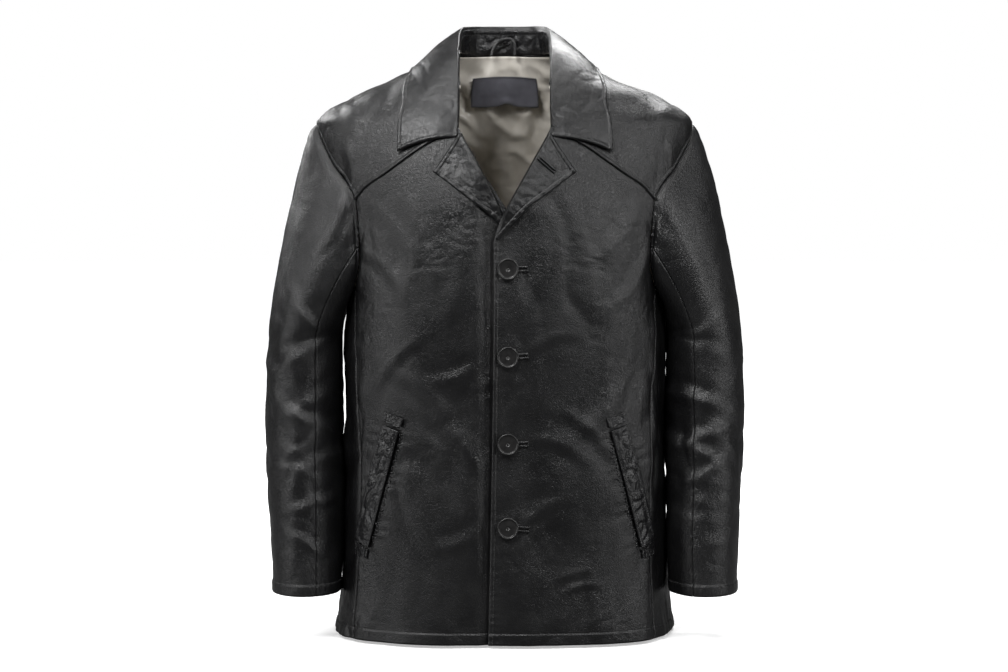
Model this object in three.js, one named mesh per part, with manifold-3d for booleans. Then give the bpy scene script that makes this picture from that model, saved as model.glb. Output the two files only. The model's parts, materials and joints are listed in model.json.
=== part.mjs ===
// A hip-length leather coat, buttoned, in the shape it has when it is worn.
// Millimetres, +Z up, the front faces -Y, and +X is the wearer's left.
// Heights are given above the hem. The whole coat then hangs from the middle of its neck opening.
import * as THREE from 'three';
import Module from 'manifold-3d';
import { mergeVertices } from 'three/addons/utils/BufferGeometryUtils.js';

const wasm = await Module();
wasm.setup();

// ---- driving dimensions ----
const HOLD_HEIGHT = 690; // the middle of the neck opening, above the hem: the origin
const LEATHER = 1.6; // thickness of one layer of leather
const CLOTH = 1.0; // thickness of the satin lining
const SEAM = 0.45; // half the gap between two pieces that meet at a seam
const NECK_TOP = 745; // height of the collar seam
const SHOULDER = 655; // height of the shoulder point
const FRONT_BREAK = 507; // height where the overlapping front edge starts to roll
const ROLL_TOP = 650; // height where the roll line meets the neck
const SIDE_SEAM_TOP = 446; // height where the side seams end at the armhole
const BACK_YOKE_SEAM = 600; // height of the back yoke's seam
const FACING_WIDTH = 60; // the leather facing's reach from the middle of the front
const LAYER_GAP = 2; // between the leather and what lies behind it
const DIP = 2 * (LEATHER + LAYER_GAP); // how far the under front steps back below the overlap
const LINING_DEPTH = 11; // from the leather's outside to the lining
const SLEEVE_BASE = 376; // height below which the sleeve is a plain tube
const CUFF_END = 55; // height of the cuff's edge
const CUFF_FACING = 34; // height of the leather turned up inside the cuff
const HEM_FACING = 38; // height of the leather turned up inside the hem
const BUTTON_RADIUS = 13.4;
const BUTTON_HEIGHTS = [472, 362, 253, 148];
const BUTTON_X = 4;
const SLIT_END_X = 29; // where the buttonhole's slit ends
const SLIT_HEIGHT = 4.6;
const SHANK_RADIUS = 1.8;

// Horizontal sections of the body: height, half width, depth to the front and to the back, and
// the exponent of the superellipse (2 is an ellipse, more is squarer).
const BODY = [
  [0, 219, 161, 152, 2.9],
  [60, 212, 158, 149, 2.8],
  [150, 207, 154, 142, 2.65],
  [300, 204, 147, 130, 2.6],
  [430, 204, 143, 126, 2.5],
  [540, 216, 134, 126, 2.3],
  [610, 234, 117, 117, 2.15],
  [655, 242, 100, 106, 2.05],
  [687, 200, 84, 98, 2],
  [710, 148, 72, 91, 2],
  [727, 112, 62, 86, 2],
  [750, 62, 50, 80, 2],
];

// Horizontal sections of the hanging sleeve: height, centre across, centre in depth, half width
// and half depth.
const SLEEVE = [
  [55, 255.5, -60, 43.5, 60],
  [73, 255, -58, 44, 61],
  [140, 256, -48, 47, 64],
  [223, 258.5, -34, 49.5, 68],
  [293, 259.5, -22, 50.5, 72],
  [376, 258.5, -14, 48.5, 74],
  [400, 258, -12, 48, 74],
];

// The front half of the armhole, from the shoulder point (0) to the underarm (1): share of the
// way, angle round the body in degrees and height. The back half is its mirror image.
const ARMHOLE = [
  [0, 90, 655],
  [0.2, 79.2, 605],
  [0.4, 68.6, 556],
  [0.65, 67.5, 490],
  [0.85, 72, 446],
  [1, 90, 430],
];
const YOKE_CORNER = 0.4; // where the yoke seam meets the armhole
const SIDE_CORNER = 0.85; // where the side seam meets it

// ---- helpers for numbers and curves ----
const rad = THREE.MathUtils.degToRad;
const lerp = THREE.MathUtils.lerp;
const smooth = (x, a, b) => THREE.MathUtils.smoothstep(x, a, b);

// A smooth curve through rows of [position, value, value, ...], without overshoot.
function track(rows, at) {
  const last = rows.length - 1;
  const x = THREE.MathUtils.clamp(at, rows[0][0], rows[last][0]);
  let k = 0;
  while (k < last - 1 && x > rows[k + 1][0]) k += 1;
  const width = rows[k + 1][0] - rows[k][0];
  const t = (x - rows[k][0]) / width;
  const slope = (i, c) => (rows[i + 1][c] - rows[i][c]) / (rows[i + 1][0] - rows[i][0]);
  const tangent = (i, c) => {
    if (i === 0) return slope(0, c);
    if (i === last) return slope(last - 1, c);
    const before = slope(i - 1, c);
    const after = slope(i, c);
    return before * after <= 0 ? 0 : (2 * before * after) / (before + after);
  };
  return rows[k].slice(1).map((value, j) => {
    const c = j + 1;
    const start = (1 + 2 * t) * (1 - t) ** 2 * value + t * (1 - t) ** 2 * width * tangent(k, c);
    const end = t * t * (3 - 2 * t) * rows[k + 1][c] + t * t * (t - 1) * width * tangent(k + 1, c);
    return start + end;
  });
}

// Curves in the plane of (angle, height) are functions of 0 to 1. This one runs through points.
function through(points) {
  const curve = new THREE.SplineCurve(points.map(([a, z]) => new THREE.Vector2(a, z)));
  return (t) => curve.getPoint(THREE.MathUtils.clamp(t, 0, 1)).toArray();
}

function straight(from, to) {
  return (t) => [lerp(from[0], to[0], t), lerp(from[1], to[1], t)];
}

// Joins curves end to end; each ends at its share of the whole.
function joined(curves, ends) {
  return (t) => {
    let k = 0;
    while (k < curves.length - 1 && t > ends[k]) k += 1;
    const start = k === 0 ? 0 : ends[k - 1];
    return curves[k]((t - start) / (ends[k] - start));
  };
}

const reversed = (curve) => (t) => curve(1 - t);
const behind = (curve) => (t) => [180 - curve(t)[0], curve(t)[1]];

// ---- the body's surface ----
function bodyPoint(angle, z) {
  const [a, front, back, n] = track(BODY, z);
  const s = Math.sin(rad(angle));
  const c = Math.cos(rad(angle));
  const b = c > 0 ? front : back;
  const r = ((Math.abs(s) / a) ** n + (Math.abs(c) / b) ** n) ** (-1 / n);
  return new THREE.Vector3(r * s, -r * c, z);
}

// The angle of the point on the front that is this far to the wearer's left.
function frontAngle(x, z) {
  const [a, front, , n] = track(BODY, z);
  const y = front * (1 - Math.min(Math.abs(x) / a, 1) ** n) ** (1 / n);
  return THREE.MathUtils.radToDeg(Math.atan2(x, y));
}

const onFront = (points) => points.map(([x, z]) => [frontAngle(x, z), z]);

// ---- seam lines on the body, in (angle, height), for the wearer's left ----
const armhole = (from, to) => (t) => track(ARMHOLE, lerp(from, to, t));
const sideSeam = through([[60.5, 0], [64, 220], [72, SIDE_SEAM_TOP]]);
const yokeSeam = through(onFront([[58, 650], [83, 636], [111, 620], [150, 592], [176, 574]])
  .concat([armhole(0, 1)(YOKE_CORNER)]));
const neckFront = through(onFront([[58, 650], [60, 687], [61, 715]]).concat([[90, NECK_TOP]]));
const ridge = straight([90, SHOULDER], [90, NECK_TOP]);
const SEAM_SHARE = 0.8; // share of a panel's edge below the armhole or the break

// The front edge, up the overlap and along the roll line to the neck.
const frontEdges = {
  left: joined([
    through(onFront([[-21, 0], [-17, 190], [-14, 400], [-14, FRONT_BREAK]])),
    through(onFront([[-14, FRONT_BREAK], [3, 549], [58, ROLL_TOP]])),
  ], [SEAM_SHARE, 1]),
  right: joined([
    through(onFront([[-25, 0], [-25, 300], [-25, FRONT_BREAK]])),
    through(onFront([[-25, FRONT_BREAK], [1, 552], [58, ROLL_TOP]])),
  ], [SEAM_SHARE, 1]),
};

// A patch of the plane filled between four edges (a Coons patch).
function patch(bottom, top, left, right) {
  return (u, v) => [0, 1].map((k) => {
    const across = lerp(bottom(u)[k], top(u)[k], v) + lerp(left(v)[k], right(v)[k], u);
    const low = lerp(bottom(0)[k], bottom(1)[k], u);
    const high = lerp(top(0)[k], top(1)[k], u);
    return across - lerp(low, high, v);
  });
}

// ---- shells ----
// A surface is a function of (u, v) with an "inside" point that its faces look away from.
function normalAt(surface, inside, u, v) {
  const step = 1e-3;
  const du = surface(u + step, v).sub(surface(u - step, v));
  const dv = surface(u, v + step).sub(surface(u, v - step));
  const normal = du.cross(dv).normalize();
  const away = surface(u, v).sub(inside(u, v));
  return normal.dot(away) < 0 ? normal.negate() : normal;
}

function outward(geometry) {
  const p = geometry.attributes.position;
  const index = geometry.index.array;
  const corner = [0, 1, 2].map(() => new THREE.Vector3());
  let volume = 0;
  for (let i = 0; i < index.length; i += 3) {
    corner.forEach((c, k) => c.fromBufferAttribute(p, index[i + k]));
    volume += corner[0].dot(corner[1].cross(corner[2]));
  }
  if (volume < 0) {
    for (let i = 0; i < index.length; i += 3) [index[i], index[i + 1]] = [index[i + 1], index[i]];
  }
  geometry.computeVertexNormals();
  return geometry;
}

// Bends a box with a face of nu by nv squares onto a surface, between two heights above it.
function shell(surface, inside, [nu, nv], [low, high], [u0, u1, v0, v1] = [0, 1, 0, 1]) {
  const box = new THREE.BoxGeometry(1, 1, 1, nu, nv, 1);
  box.deleteAttribute('normal');
  box.deleteAttribute('uv');
  const geometry = mergeVertices(box);
  const p = geometry.attributes.position;
  for (let i = 0; i < p.count; i += 1) {
    const u = lerp(u0, u1, p.getX(i) + 0.5);
    const v = lerp(v0, v1, p.getY(i) + 0.5);
    const height = p.getZ(i) > 0 ? high : low;
    const lift = typeof height === 'function' ? height(u, v) : height;
    const point = surface(u, v).addScaledVector(normalAt(surface, inside, u, v), lift);
    p.setXYZ(i, point.x, point.y, point.z);
  }
  return outward(geometry);
}

// Bends a closed ring onto a surface whose u goes right round.
function ringShell(surface, inside, nu, nv, [low, high], [v0, v1]) {
  const profile = [];
  for (let k = 0; k <= nv; k += 1) profile.push(new THREE.Vector2(2, k / nv));
  for (let k = nv; k >= 0; k -= 1) profile.push(new THREE.Vector2(1, k / nv));
  profile.push(profile[0].clone());
  const ring = new THREE.LatheGeometry(profile, nu);
  ring.deleteAttribute('normal');
  ring.deleteAttribute('uv');
  const geometry = mergeVertices(ring, 1e-5);
  const p = geometry.attributes.position;
  for (let i = 0; i < p.count; i += 1) {
    const u = Math.atan2(p.getZ(i), p.getX(i)) / (2 * Math.PI);
    const v = lerp(v0, v1, p.getY(i));
    const lift = Math.hypot(p.getX(i), p.getZ(i)) > 1.5 ? high : low;
    const point = surface(u, v).addScaledVector(normalAt(surface, inside, u, v), lift);
    p.setXYZ(i, point.x, point.y, point.z);
  }
  return outward(geometry);
}

const axisPoint = (surface) => (u, v) => new THREE.Vector3(0, 0, surface(u, v).z - 25);

// A panel of the body: a patch laid on the body's surface, drawn back from its seams.
function bodyPanel(plan, side, size, heights, grid) {
  const surface = (u, v) => {
    const [angle, z] = plan(u, v);
    const point = bodyPoint(angle, z);
    point.x *= side;
    return point;
  };
  const wide = surface(0, 0.5).distanceTo(surface(1, 0.5));
  const tall = surface(0.5, 0).distanceTo(surface(0.5, 1));
  const gu = (size.gap ?? SEAM) / wide;
  const gv = (size.gap ?? SEAM) / tall;
  const range = size.range ?? [gu, 1 - gu, gv, 1 - gv];
  return shell(surface, axisPoint(surface), grid, heights, range);
}

// ---- manifold joins and cuts ----
function solid(geometry) {
  const bare = geometry.clone();
  bare.deleteAttribute('normal');
  bare.deleteAttribute('uv');
  const merged = mergeVertices(bare);
  return new wasm.Manifold(new wasm.Mesh({
    numProp: 3,
    vertProperties: new Float32Array(merged.attributes.position.array),
    triVerts: new Uint32Array(merged.index.array),
  }));
}

function fromSolid(manifold) {
  const mesh = manifold.getMesh();
  const geometry = new THREE.BufferGeometry();
  geometry.setAttribute('position', new THREE.BufferAttribute(mesh.vertProperties, 3));
  geometry.setIndex(new THREE.BufferAttribute(mesh.triVerts, 1));
  geometry.computeVertexNormals();
  return geometry;
}

function cut(geometry, cutters) {
  let result = solid(geometry);
  for (const cutter of cutters) result = result.subtract(solid(cutter));
  return fromSolid(result);
}

// ---- materials ----
const leather = () => new THREE.MeshStandardMaterial({ color: 0x1b1b1c, roughness: 0.42 });
const satin = () => new THREE.MeshStandardMaterial({ color: 0x8c857a, roughness: 0.35 });
const horn = () => new THREE.MeshStandardMaterial({ color: 0x101011, roughness: 0.25 });
const thread = () => new THREE.MeshStandardMaterial({ color: 0x0c0c0c, roughness: 0.8 });
const patchCloth = () => new THREE.MeshStandardMaterial({ color: 0x4b4c52, roughness: 0.7 });
const wadding = () => new THREE.MeshStandardMaterial({ color: 0xb9b6ae, roughness: 0.95 });
const pocketing = () => new THREE.MeshStandardMaterial({ color: 0x2c2b2a, roughness: 0.9 });

const coat = new THREE.Group();
coat.position.z = -HOLD_HEIGHT;
const sides = { left: 1, right: -1 };

function add(name, geometry, material, group = coat) {
  const mesh = new THREE.Mesh(geometry, material);
  mesh.name = name;
  group.add(mesh);
  return mesh;
}

// ---- the body's panels ----
// How far a layer steps back under the overlap, on the wearer's right.
function underlap(plan, side, base) {
  return (u, v) => {
    if (side > 0) return base;
    const [angle, z] = plan(u, v);
    const x = bodyPoint(angle, z).x;
    return base - DIP * (1 - smooth(x, 16, 38)) * (1 - smooth(z, 555, 610));
  };
}

function slitCutters() {
  return BUTTON_HEIGHTS.map((z) => {
    const start = BUTTON_X - SHANK_RADIUS - 0.6;
    const box = new THREE.BoxGeometry(SLIT_END_X - start, 20, SLIT_HEIGHT);
    box.translate((SLIT_END_X + start) / 2, bodyPoint(0, z).y, z);
    return box;
  });
}

function frontPanel(name, side) {
  const right = joined([sideSeam, armhole(SIDE_CORNER, YOKE_CORNER)], [SEAM_SHARE, 1]);
  const left = frontEdges[name];
  const plan = patch(straight(left(0), right(0)), yokeSeam, left, right);
  const outer = underlap(plan, side, 0);
  const inner = underlap(plan, side, -LEATHER);
  const geometry = bodyPanel(plan, side, {}, [inner, outer], [10, 14]);
  add(`front_${name}`, side > 0 ? cut(geometry, slitCutters()) : geometry, leather());
}

function frontYoke(name, side) {
  const top = reversed(ridge);
  const plan = patch(yokeSeam, top, neckFront, armhole(YOKE_CORNER, 0));
  add(`front_yoke_${name}`, bodyPanel(plan, side, {}, [-LEATHER, 0], [7, 7]), leather());
}

function sidePanel(name, side) {
  const top = joined([armhole(SIDE_CORNER, 1), behind(armhole(1, SIDE_CORNER))], [0.5, 1]);
  const seamBehind = behind(sideSeam);
  const plan = patch(straight(sideSeam(0), seamBehind(0)), top, sideSeam, seamBehind);
  add(`side_panel_${name}`, bodyPanel(plan, side, {}, [-LEATHER, 0], [8, 9]), leather());
}

// The share of the armhole at the height of the back yoke's seam.
const BACK_YOKE_CORNER = 0.22;

function backPanels() {
  const near = behind(joined([sideSeam, armhole(SIDE_CORNER, BACK_YOKE_CORNER)], [0.75, 1]));
  const far = (t) => [360 - near(t)[0], near(t)[1]];
  const seam = through([near(1), [180, BACK_YOKE_SEAM + 4], far(1)]);
  const plan = patch(straight(near(0), far(0)), seam, near, far);
  add('back_panel', bodyPanel(plan, 1, {}, [-LEATHER, 0], [16, 11]), leather());
  const armNear = behind(armhole(BACK_YOKE_CORNER, 0));
  const armFar = (t) => [360 - armNear(t)[0], armNear(t)[1]];
  const farRidge = straight([270, NECK_TOP], [270, SHOULDER]);
  const neck = straight([90, NECK_TOP], [270, NECK_TOP]);
  const top = joined([ridge, neck, farRidge], [0.3, 0.7, 1]);
  const yoke = patch(seam, top, armNear, armFar);
  add('back_yoke', bodyPanel(yoke, 1, {}, [-LEATHER, 0], [16, 5]), leather());
}

// ---- facings and hem, the leather turned to the inside ----
const FACING_TOP = 700;

function facing(name, side) {
  const depth = LEATHER + (side > 0 ? 1 : 2) * LAYER_GAP;
  const front = frontEdges[name];
  const inner = through([10, 250, 480, 600, FACING_TOP].map((z) => [frontAngle(FACING_WIDTH, z), z]));
  const outer = joined([front, through(onFront([[58, ROLL_TOP], [59, 675], [60, FACING_TOP - 6]]))],
    [0.93, 1]);
  const start = (t) => outer(lerp(0.014, 1, t));
  const plan = patch(straight(start(0), inner(0)), straight(start(1), inner(1)), start, inner);
  const narrow = (u, v) => plan(u, lerp(0, 0.86, v));
  const low = underlap(narrow, side, -depth - LEATHER);
  const high = underlap(narrow, side, -depth);
  const geometry = bodyPanel(narrow, side, { gap: 1 }, [low, high], [3, 12]);
  add(`facing_${name}`, side > 0 ? cut(geometry, slitCutters()) : geometry, leather());
}

function hemFacing() {
  const depth = LEATHER + LAYER_GAP;
  const start = frontAngle(FACING_WIDTH + 4, 0);
  const plan = patch(
    straight([start, 1], [360 - start, 1]),
    straight([start, HEM_FACING], [360 - start, HEM_FACING]),
    straight([start, 1], [start, HEM_FACING]),
    straight([360 - start, 1], [360 - start, HEM_FACING]),
  );
  add('hem_facing', bodyPanel(plan, 1, {}, [-depth - LEATHER, -depth], [40, 1]), leather());
}

// ---- lining, label and shoulder pads ----
const LINING = [-LINING_DEPTH - CLOTH, -LINING_DEPTH];
const LINING_HEM = 22; // height of the lining's hem
const LINING_SEAM_SHARE = 0.64; // share of the lining's side that lies below the armhole
const liningSeam = straight([90, LINING_HEM], [90, 430]);

function frontLining(name, side) {
  const right = joined([liningSeam, armhole(1, 0)], [LINING_SEAM_SHARE, 1]);
  const start = FACING_WIDTH + 3;
  const left = through([LINING_HEM, 250, 480, 600, 690].map((z) => [frontAngle(start, z), z])
    .concat([[84, 736]]));
  const top = straight([84, 736], [90, SHOULDER]);
  const plan = patch(straight(left(0), right(0)), top, left, right);
  add(`lining_front_${name}`, bodyPanel(plan, side, { gap: 1 }, LINING, [5, 9]), satin());
}

function backLining() {
  const low = joined([liningSeam, behind(armhole(1, 0))], [LINING_SEAM_SHARE, 1]);
  const far = (t) => [360 - low(t)[0], low(t)[1]];
  const top = joined([
    straight([90, SHOULDER], [96, 738]),
    straight([96, 738], [264, 738]),
    straight([264, 738], [270, SHOULDER]),
  ], [0.3, 0.7, 1]);
  const plan = patch(straight(low(0), far(0)), top, low, far);
  add('lining_back', bodyPanel(plan, 1, { gap: 1.2 }, LINING, [14, 20]), satin());
}

function label() {
  const depth = LINING_DEPTH + CLOTH + 1.8 * LAYER_GAP;
  const left = straight([151, 678], [149, 716]);
  const right = straight([209, 678], [211, 716]);
  const plan = patch(straight(left(0), right(0)), straight(left(1), right(1)), left, right);
  add('label_patch', bodyPanel(plan, 1, {}, [-depth - CLOTH, -depth], [8, 4]), patchCloth());
}

// A flat pad under the yoke, over the shoulder's ridge.
function shoulderPad(name, side) {
  const depth = LEATHER + 2 * LAYER_GAP;
  const front = straight([85, 670], [80, 706]);
  const back = straight([95, 670], [100, 706]);
  const plan = patch(straight(front(0), back(0)), straight(front(1), back(1)), front, back);
  const heights = [-LINING_DEPTH + 1.2, -depth];
  add(`shoulder_pad_${name}`, bodyPanel(plan, side, {}, heights, [4, 5]), wadding());
}

// ---- collar and lapels ----
// The fold at the top of the collar and its outer edge, from the middle of the back (0) to the
// front (1): share of the way, x, y and height.
const COLLAR_FOLD = [
  [0, 0, 84, 783],
  [0.22, 34, 77, 783],
  [0.42, 55, 48, 781],
  [0.6, 61, 3, 765],
  [0.7, 61, -38, 742],
  [0.8, 60, -66, 714],
  [0.9, 59.5, -88, 678],
  [1, 60, -105, 637],
];
const COLLAR_EDGE = [
  [0, 0, 99, 710],
  [0.22, 66, 88, 714],
  [0.42, 108, 44, 726],
  [0.6, 121, -8, 724],
  [0.8, 126, -66, 686],
  [1, 136, -100, 619],
];

// Moves a point outwards until it clears the body's surface.
function clearOfBody(point, clearance) {
  const angle = THREE.MathUtils.radToDeg(Math.atan2(point.x, -point.y));
  const wall = bodyPoint(angle, Math.min(point.z, NECK_TOP));
  const wanted = Math.hypot(wall.x, wall.y) + clearance;
  const now = Math.hypot(point.x, point.y);
  if (now < wanted) point.set(point.x * wanted / now, point.y * wanted / now, point.z);
  return point;
}

function alongCollar(rows, u) {
  const share = Math.abs(2 * u - 1);
  const [x, y, z] = track(rows, share);
  return new THREE.Vector3(u < 0.5 ? -x : x, y, z);
}

const COLLAR_LIFT = 9; // how far the leaf arches between its fold and its edge

function collarLeaf() {
  const surface = (u, v) => {
    const fold = alongCollar(COLLAR_FOLD, u);
    const edge = alongCollar(COLLAR_EDGE, u);
    const middle = fold.clone().lerp(edge, 0.45);
    middle.z += COLLAR_LIFT;
    middle.x += Math.sign(middle.x) * Math.min(Math.abs(middle.x), COLLAR_LIFT);
    const point = new THREE.QuadraticBezierCurve3(fold, middle, edge).getPoint(v);
    return clearOfBody(point, 2.5 + 5.5 * smooth(v, 0, 0.3));
  };
  const inside = () => new THREE.Vector3(0, 0, 600);
  const geometry = shell(surface, inside, [26, 5], [0, 2 * LEATHER - 1], [0.002, 0.998, 0.03, 1]);
  add('collar_leaf', geometry, leather());
}

function collarStand() {
  const surface = (u, v) => {
    const fold = alongCollar(COLLAR_FOLD, u);
    const base = fold.clone().multiply(new THREE.Vector3(0.97, 0.95, 1));
    base.z = Math.min(NECK_TOP + 3, fold.z - 14);
    const top = fold.clone().multiply(new THREE.Vector3(0.95, 0.95, 1));
    top.z -= 3;
    return base.lerp(top, v);
  };
  const inside = (u, v) => new THREE.Vector3(0, 0, surface(u, v).z);
  const geometry = shell(surface, inside, [18, 1], [-LEATHER, 0], [0.16, 0.84, 0, 1]);
  add('collar_stand', geometry, leather());
}

// A lapel lies on the front: roll line, gorge and outer edge.
function lapel(name, side) {
  const rollBottom = side > 0 ? [-12, FRONT_BREAK + 6] : [6, 548];
  const breakPoint = side > 0 ? [4, 552] : [14, 566];
  const tip = [90, 593];
  const roll = through(onFront([rollBottom, breakPoint, [33, 604], [55, 643]]));
  const lowEnd = [rollBottom[0] + 5, rollBottom[1] - 1];
  const outer = through(onFront([lowEnd, [26, 548], [58, 571], tip]));
  const gorge = through(onFront([[55, 643], [71, 620], tip]));
  const base = straight(roll(0), outer(0));
  const plan = patch(base, gorge, roll, outer);
  add(`lapel_${name}`, bodyPanel(plan, side, {}, [1, 1 + LEATHER], [4, 8]), leather());
}

// ---- pockets ----
// Corners of the slanted welt, at the middle (in) and at the side (out).
const WELT = { topIn: [133, 267], topOut: [153, 274], lowIn: [172, 117], lowOut: [190, 127] };
const WELT_RISE = 1.2; // gap between the welt and the front

function flatPatch(low, high) {
  const bottom = straight(...onFront(low));
  const top = straight(...onFront(high));
  return patch(bottom, top, straight(bottom(0), top(0)), straight(bottom(1), top(1)));
}

function pocket(name, side) {
  const welt = flatPatch([WELT.lowIn, WELT.lowOut], [WELT.topIn, WELT.topOut]);
  const top = flatPatch([[131, 272], [152, 279]], [[128, 282], [151, 290]]);
  const low = flatPatch([[174, 103], [190, 106]], [[173, 114], [190, 123]]);
  const raised = [WELT_RISE, WELT_RISE + 2 * LEATHER - 1];
  const flat = [WELT_RISE, WELT_RISE + LEATHER];
  add(`pocket_welt_${name}`, bodyPanel(welt, side, { gap: 0.6 }, raised, [2, 8]), leather());
  add(`pocket_tab_top_${name}`, bodyPanel(top, side, {}, flat, [2, 1]), leather());
  add(`pocket_tab_low_${name}`, bodyPanel(low, side, {}, flat, [2, 1]), leather());
  const bag = flatPatch([[90, 70], [170, 70]], [[88, 250], [150, 262]]);
  const layers = [-LINING_DEPTH + 0.9, -LEATHER - 0.9];
  const folded = [layers[1] - 2 * CLOTH, layers[1]];
  add(`pocket_bag_${name}`, bodyPanel(bag, side, {}, folded, [4, 5]), pocketing());
}

// ---- buttons ----
function facingOut(mesh, z) {
  const step = 2;
  const slope = bodyPoint(0, z + step).sub(bodyPoint(0, z - step));
  mesh.rotation.x = Math.PI / 2 - Math.atan2(slope.y, slope.z);
}

const BUTTON_GAP = 3.6; // from the front's surface to the button's back

function button(number, z) {
  const r = BUTTON_RADIUS;
  const outline = [[0, 0], [r - 3, 0], [r, 2.4], [r - 1.2, 4.4], [r - 3.4, 3.8], [0, 2.5]];
  const geometry = new THREE.LatheGeometry(outline.map(([x, y]) => new THREE.Vector2(x, y)), 20);
  geometry.rotateX(Math.PI / 2);
  const disc = add(`button_${number}`, geometry, horn());
  facingOut(disc, z);
  disc.position.set(BUTTON_X, bodyPoint(0, z).y - BUTTON_GAP, z);
  const start = bodyPoint(0, z).y - BUTTON_GAP + 0.5;
  const end = bodyPoint(0, z).y + DIP - 0.5;
  const post = new THREE.CylinderGeometry(SHANK_RADIUS, SHANK_RADIUS, end - start, 8);
  post.rotateX(Math.PI / 2);
  const shank = add(`button_shank_${number}`, post, thread());
  facingOut(shank, z);
  shank.position.set(BUTTON_X, (start + end) / 2, z);
}

// The two lips of a bound buttonhole, as one flat frame round its slit.
function buttonhole(number, z) {
  const start = BUTTON_X - SHANK_RADIUS - 0.6;
  const width = 2;
  const outline = new THREE.Shape();
  outline.moveTo(start - width, -SLIT_HEIGHT / 2 - width);
  outline.lineTo(SLIT_END_X + width, -SLIT_HEIGHT / 2 - width);
  outline.lineTo(SLIT_END_X + width, SLIT_HEIGHT / 2 + width);
  outline.lineTo(start - width, SLIT_HEIGHT / 2 + width);
  const slit = new THREE.Path();
  slit.moveTo(start, -SLIT_HEIGHT / 2);
  slit.lineTo(start, SLIT_HEIGHT / 2);
  slit.lineTo(SLIT_END_X, SLIT_HEIGHT / 2);
  slit.lineTo(SLIT_END_X, -SLIT_HEIGHT / 2);
  outline.holes.push(slit);
  const geometry = new THREE.ExtrudeGeometry(outline, { depth: 1.2, bevelEnabled: false });
  const frame = add(`buttonhole_${number}`, geometry, leather());
  facingOut(frame, z);
  frame.position.set(0, bodyPoint(0, z).y - 0.5, z);
}

// ---- hanger loop ----
function hangerLoop() {
  const path = new THREE.CatmullRomCurve3([
    [-17, 68, 747], [-15, 69.6, 755], [-9, 71, 764], [0, 71.4, 766.5],
    [9, 71, 764], [15, 69.6, 755], [17, 68, 747],
  ].map((p) => new THREE.Vector3(...p)));
  const section = new THREE.Shape(new THREE.Path().absarc(0, 0, 2.2, 0, 2 * Math.PI).getPoints(6));
  const geometry = new THREE.ExtrudeGeometry(section, { steps: 12, extrudePath: path });
  add('hanger_loop', geometry, leather());
}

// ---- sleeves ----
function armholePoint(u) {
  const half = u <= 0.5;
  const [angle, z] = track(ARMHOLE, half ? 2 * u : 2 * (1 - u));
  return bodyPoint(half ? angle : 180 - angle, z);
}

function sleeveRing(u, z) {
  const [cx, cy, rx, ry] = track(SLEEVE, z);
  const turn = 2 * Math.PI * u;
  return new THREE.Vector3(cx + rx * Math.cos(turn), cy - ry * Math.sin(turn), z);
}

const SLEEVE_GAP = 2.5; // from the armhole's edge to the sleeve's
const CAP_SHARE = 0.45; // share of the sleeve above its plain tube

// The sleeve's surface: u runs from the top over the front to the underarm and back, v runs down.
function sleeveSurface(side) {
  return (turn, v) => {
    const u = THREE.MathUtils.euclideanModulo(turn, 1);
    let point;
    if (v > CAP_SHARE) {
      const t = (v - CAP_SHARE) / (1 - CAP_SHARE);
      point = sleeveRing(u, lerp(SLEEVE_BASE, CUFF_END, t));
    } else {
      const top = Math.cos(2 * Math.PI * u);
      const front = Math.sin(2 * Math.PI * u);
      const start = armholePoint(u);
      start.x += SLEEVE_GAP;
      const end = sleeveRing(u, SLEEVE_BASE);
      const leave = new THREE.Vector3(13 + 9 * top + 4 * Math.abs(front), -14 * front, -21 - 6 * top);
      const arrive = new THREE.Vector3(-2 - 2 * top, 0, 47 + 27 * top);
      const curve = new THREE.CubicBezierCurve3(start, leave.add(start), arrive.add(end), end);
      point = curve.getPoint(v / CAP_SHARE);
    }
    point.x *= side;
    return point;
  };
}

function sleeve(name, side) {
  const surface = sleeveSurface(side);
  const inside = (u, v) => {
    const opposite = surface(u + 0.5, v);
    return opposite.lerp(surface(u, v), 0.5);
  };
  const wall = [-LEATHER, 0];
  const topV = 0.014;
  const seam = 0.0015;
  const topRange = [-0.31 + seam, 0.31 - seam, topV, 1];
  const underRange = [0.31 + seam, 0.69 - seam, topV, 1];
  add(`sleeve_top_${name}`, shell(surface, inside, [11, 12], wall, topRange), leather());
  add(`sleeve_under_${name}`, shell(surface, inside, [7, 12], wall, underRange), leather());
  const depth = LEATHER + LAYER_GAP;
  const tubeLength = (SLEEVE_BASE - CUFF_END) / (1 - CAP_SHARE);
  const facingTop = 1 - CUFF_FACING / tubeLength;
  const cuff = ringShell(surface, inside, 20, 1, [-depth - LEATHER, -depth], [facingTop, 0.998]);
  add(`cuff_facing_${name}`, cuff, leather());
  const lining = ringShell(surface, inside, 18, 6, [-depth - LEATHER - LAYER_GAP - CLOTH, -depth - LEATHER - LAYER_GAP], [0.16, 0.97]);
  add(`sleeve_lining_${name}`, lining, satin());
}

// ---- the coat ----
for (const [name, side] of Object.entries(sides)) {
  frontPanel(name, side);
  frontYoke(name, side);
  sidePanel(name, side);
  facing(name, side);
  frontLining(name, side);
  shoulderPad(name, side);
  lapel(name, side);
  pocket(name, side);
  sleeve(name, side);
}
backPanels();
hemFacing();
backLining();
label();
collarLeaf();
collarStand();
hangerLoop();
BUTTON_HEIGHTS.forEach((z, i) => {
  button(i + 1, z);
  buttonhole(i + 1, z);
});

export default coat;
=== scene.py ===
# %% [markdown]
# # A black leather coat
# The coat is built the way a tailor cuts it: every panel is a flat grid that is laid on the form
# of a worn coat, creased, and given the thickness of leather. Seams are real grooves between
# panels, and the stitches are real little threads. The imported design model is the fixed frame.

import json
import math

import bmesh
import bpy
import numpy as np
from mathutils import Matrix, Vector

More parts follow.
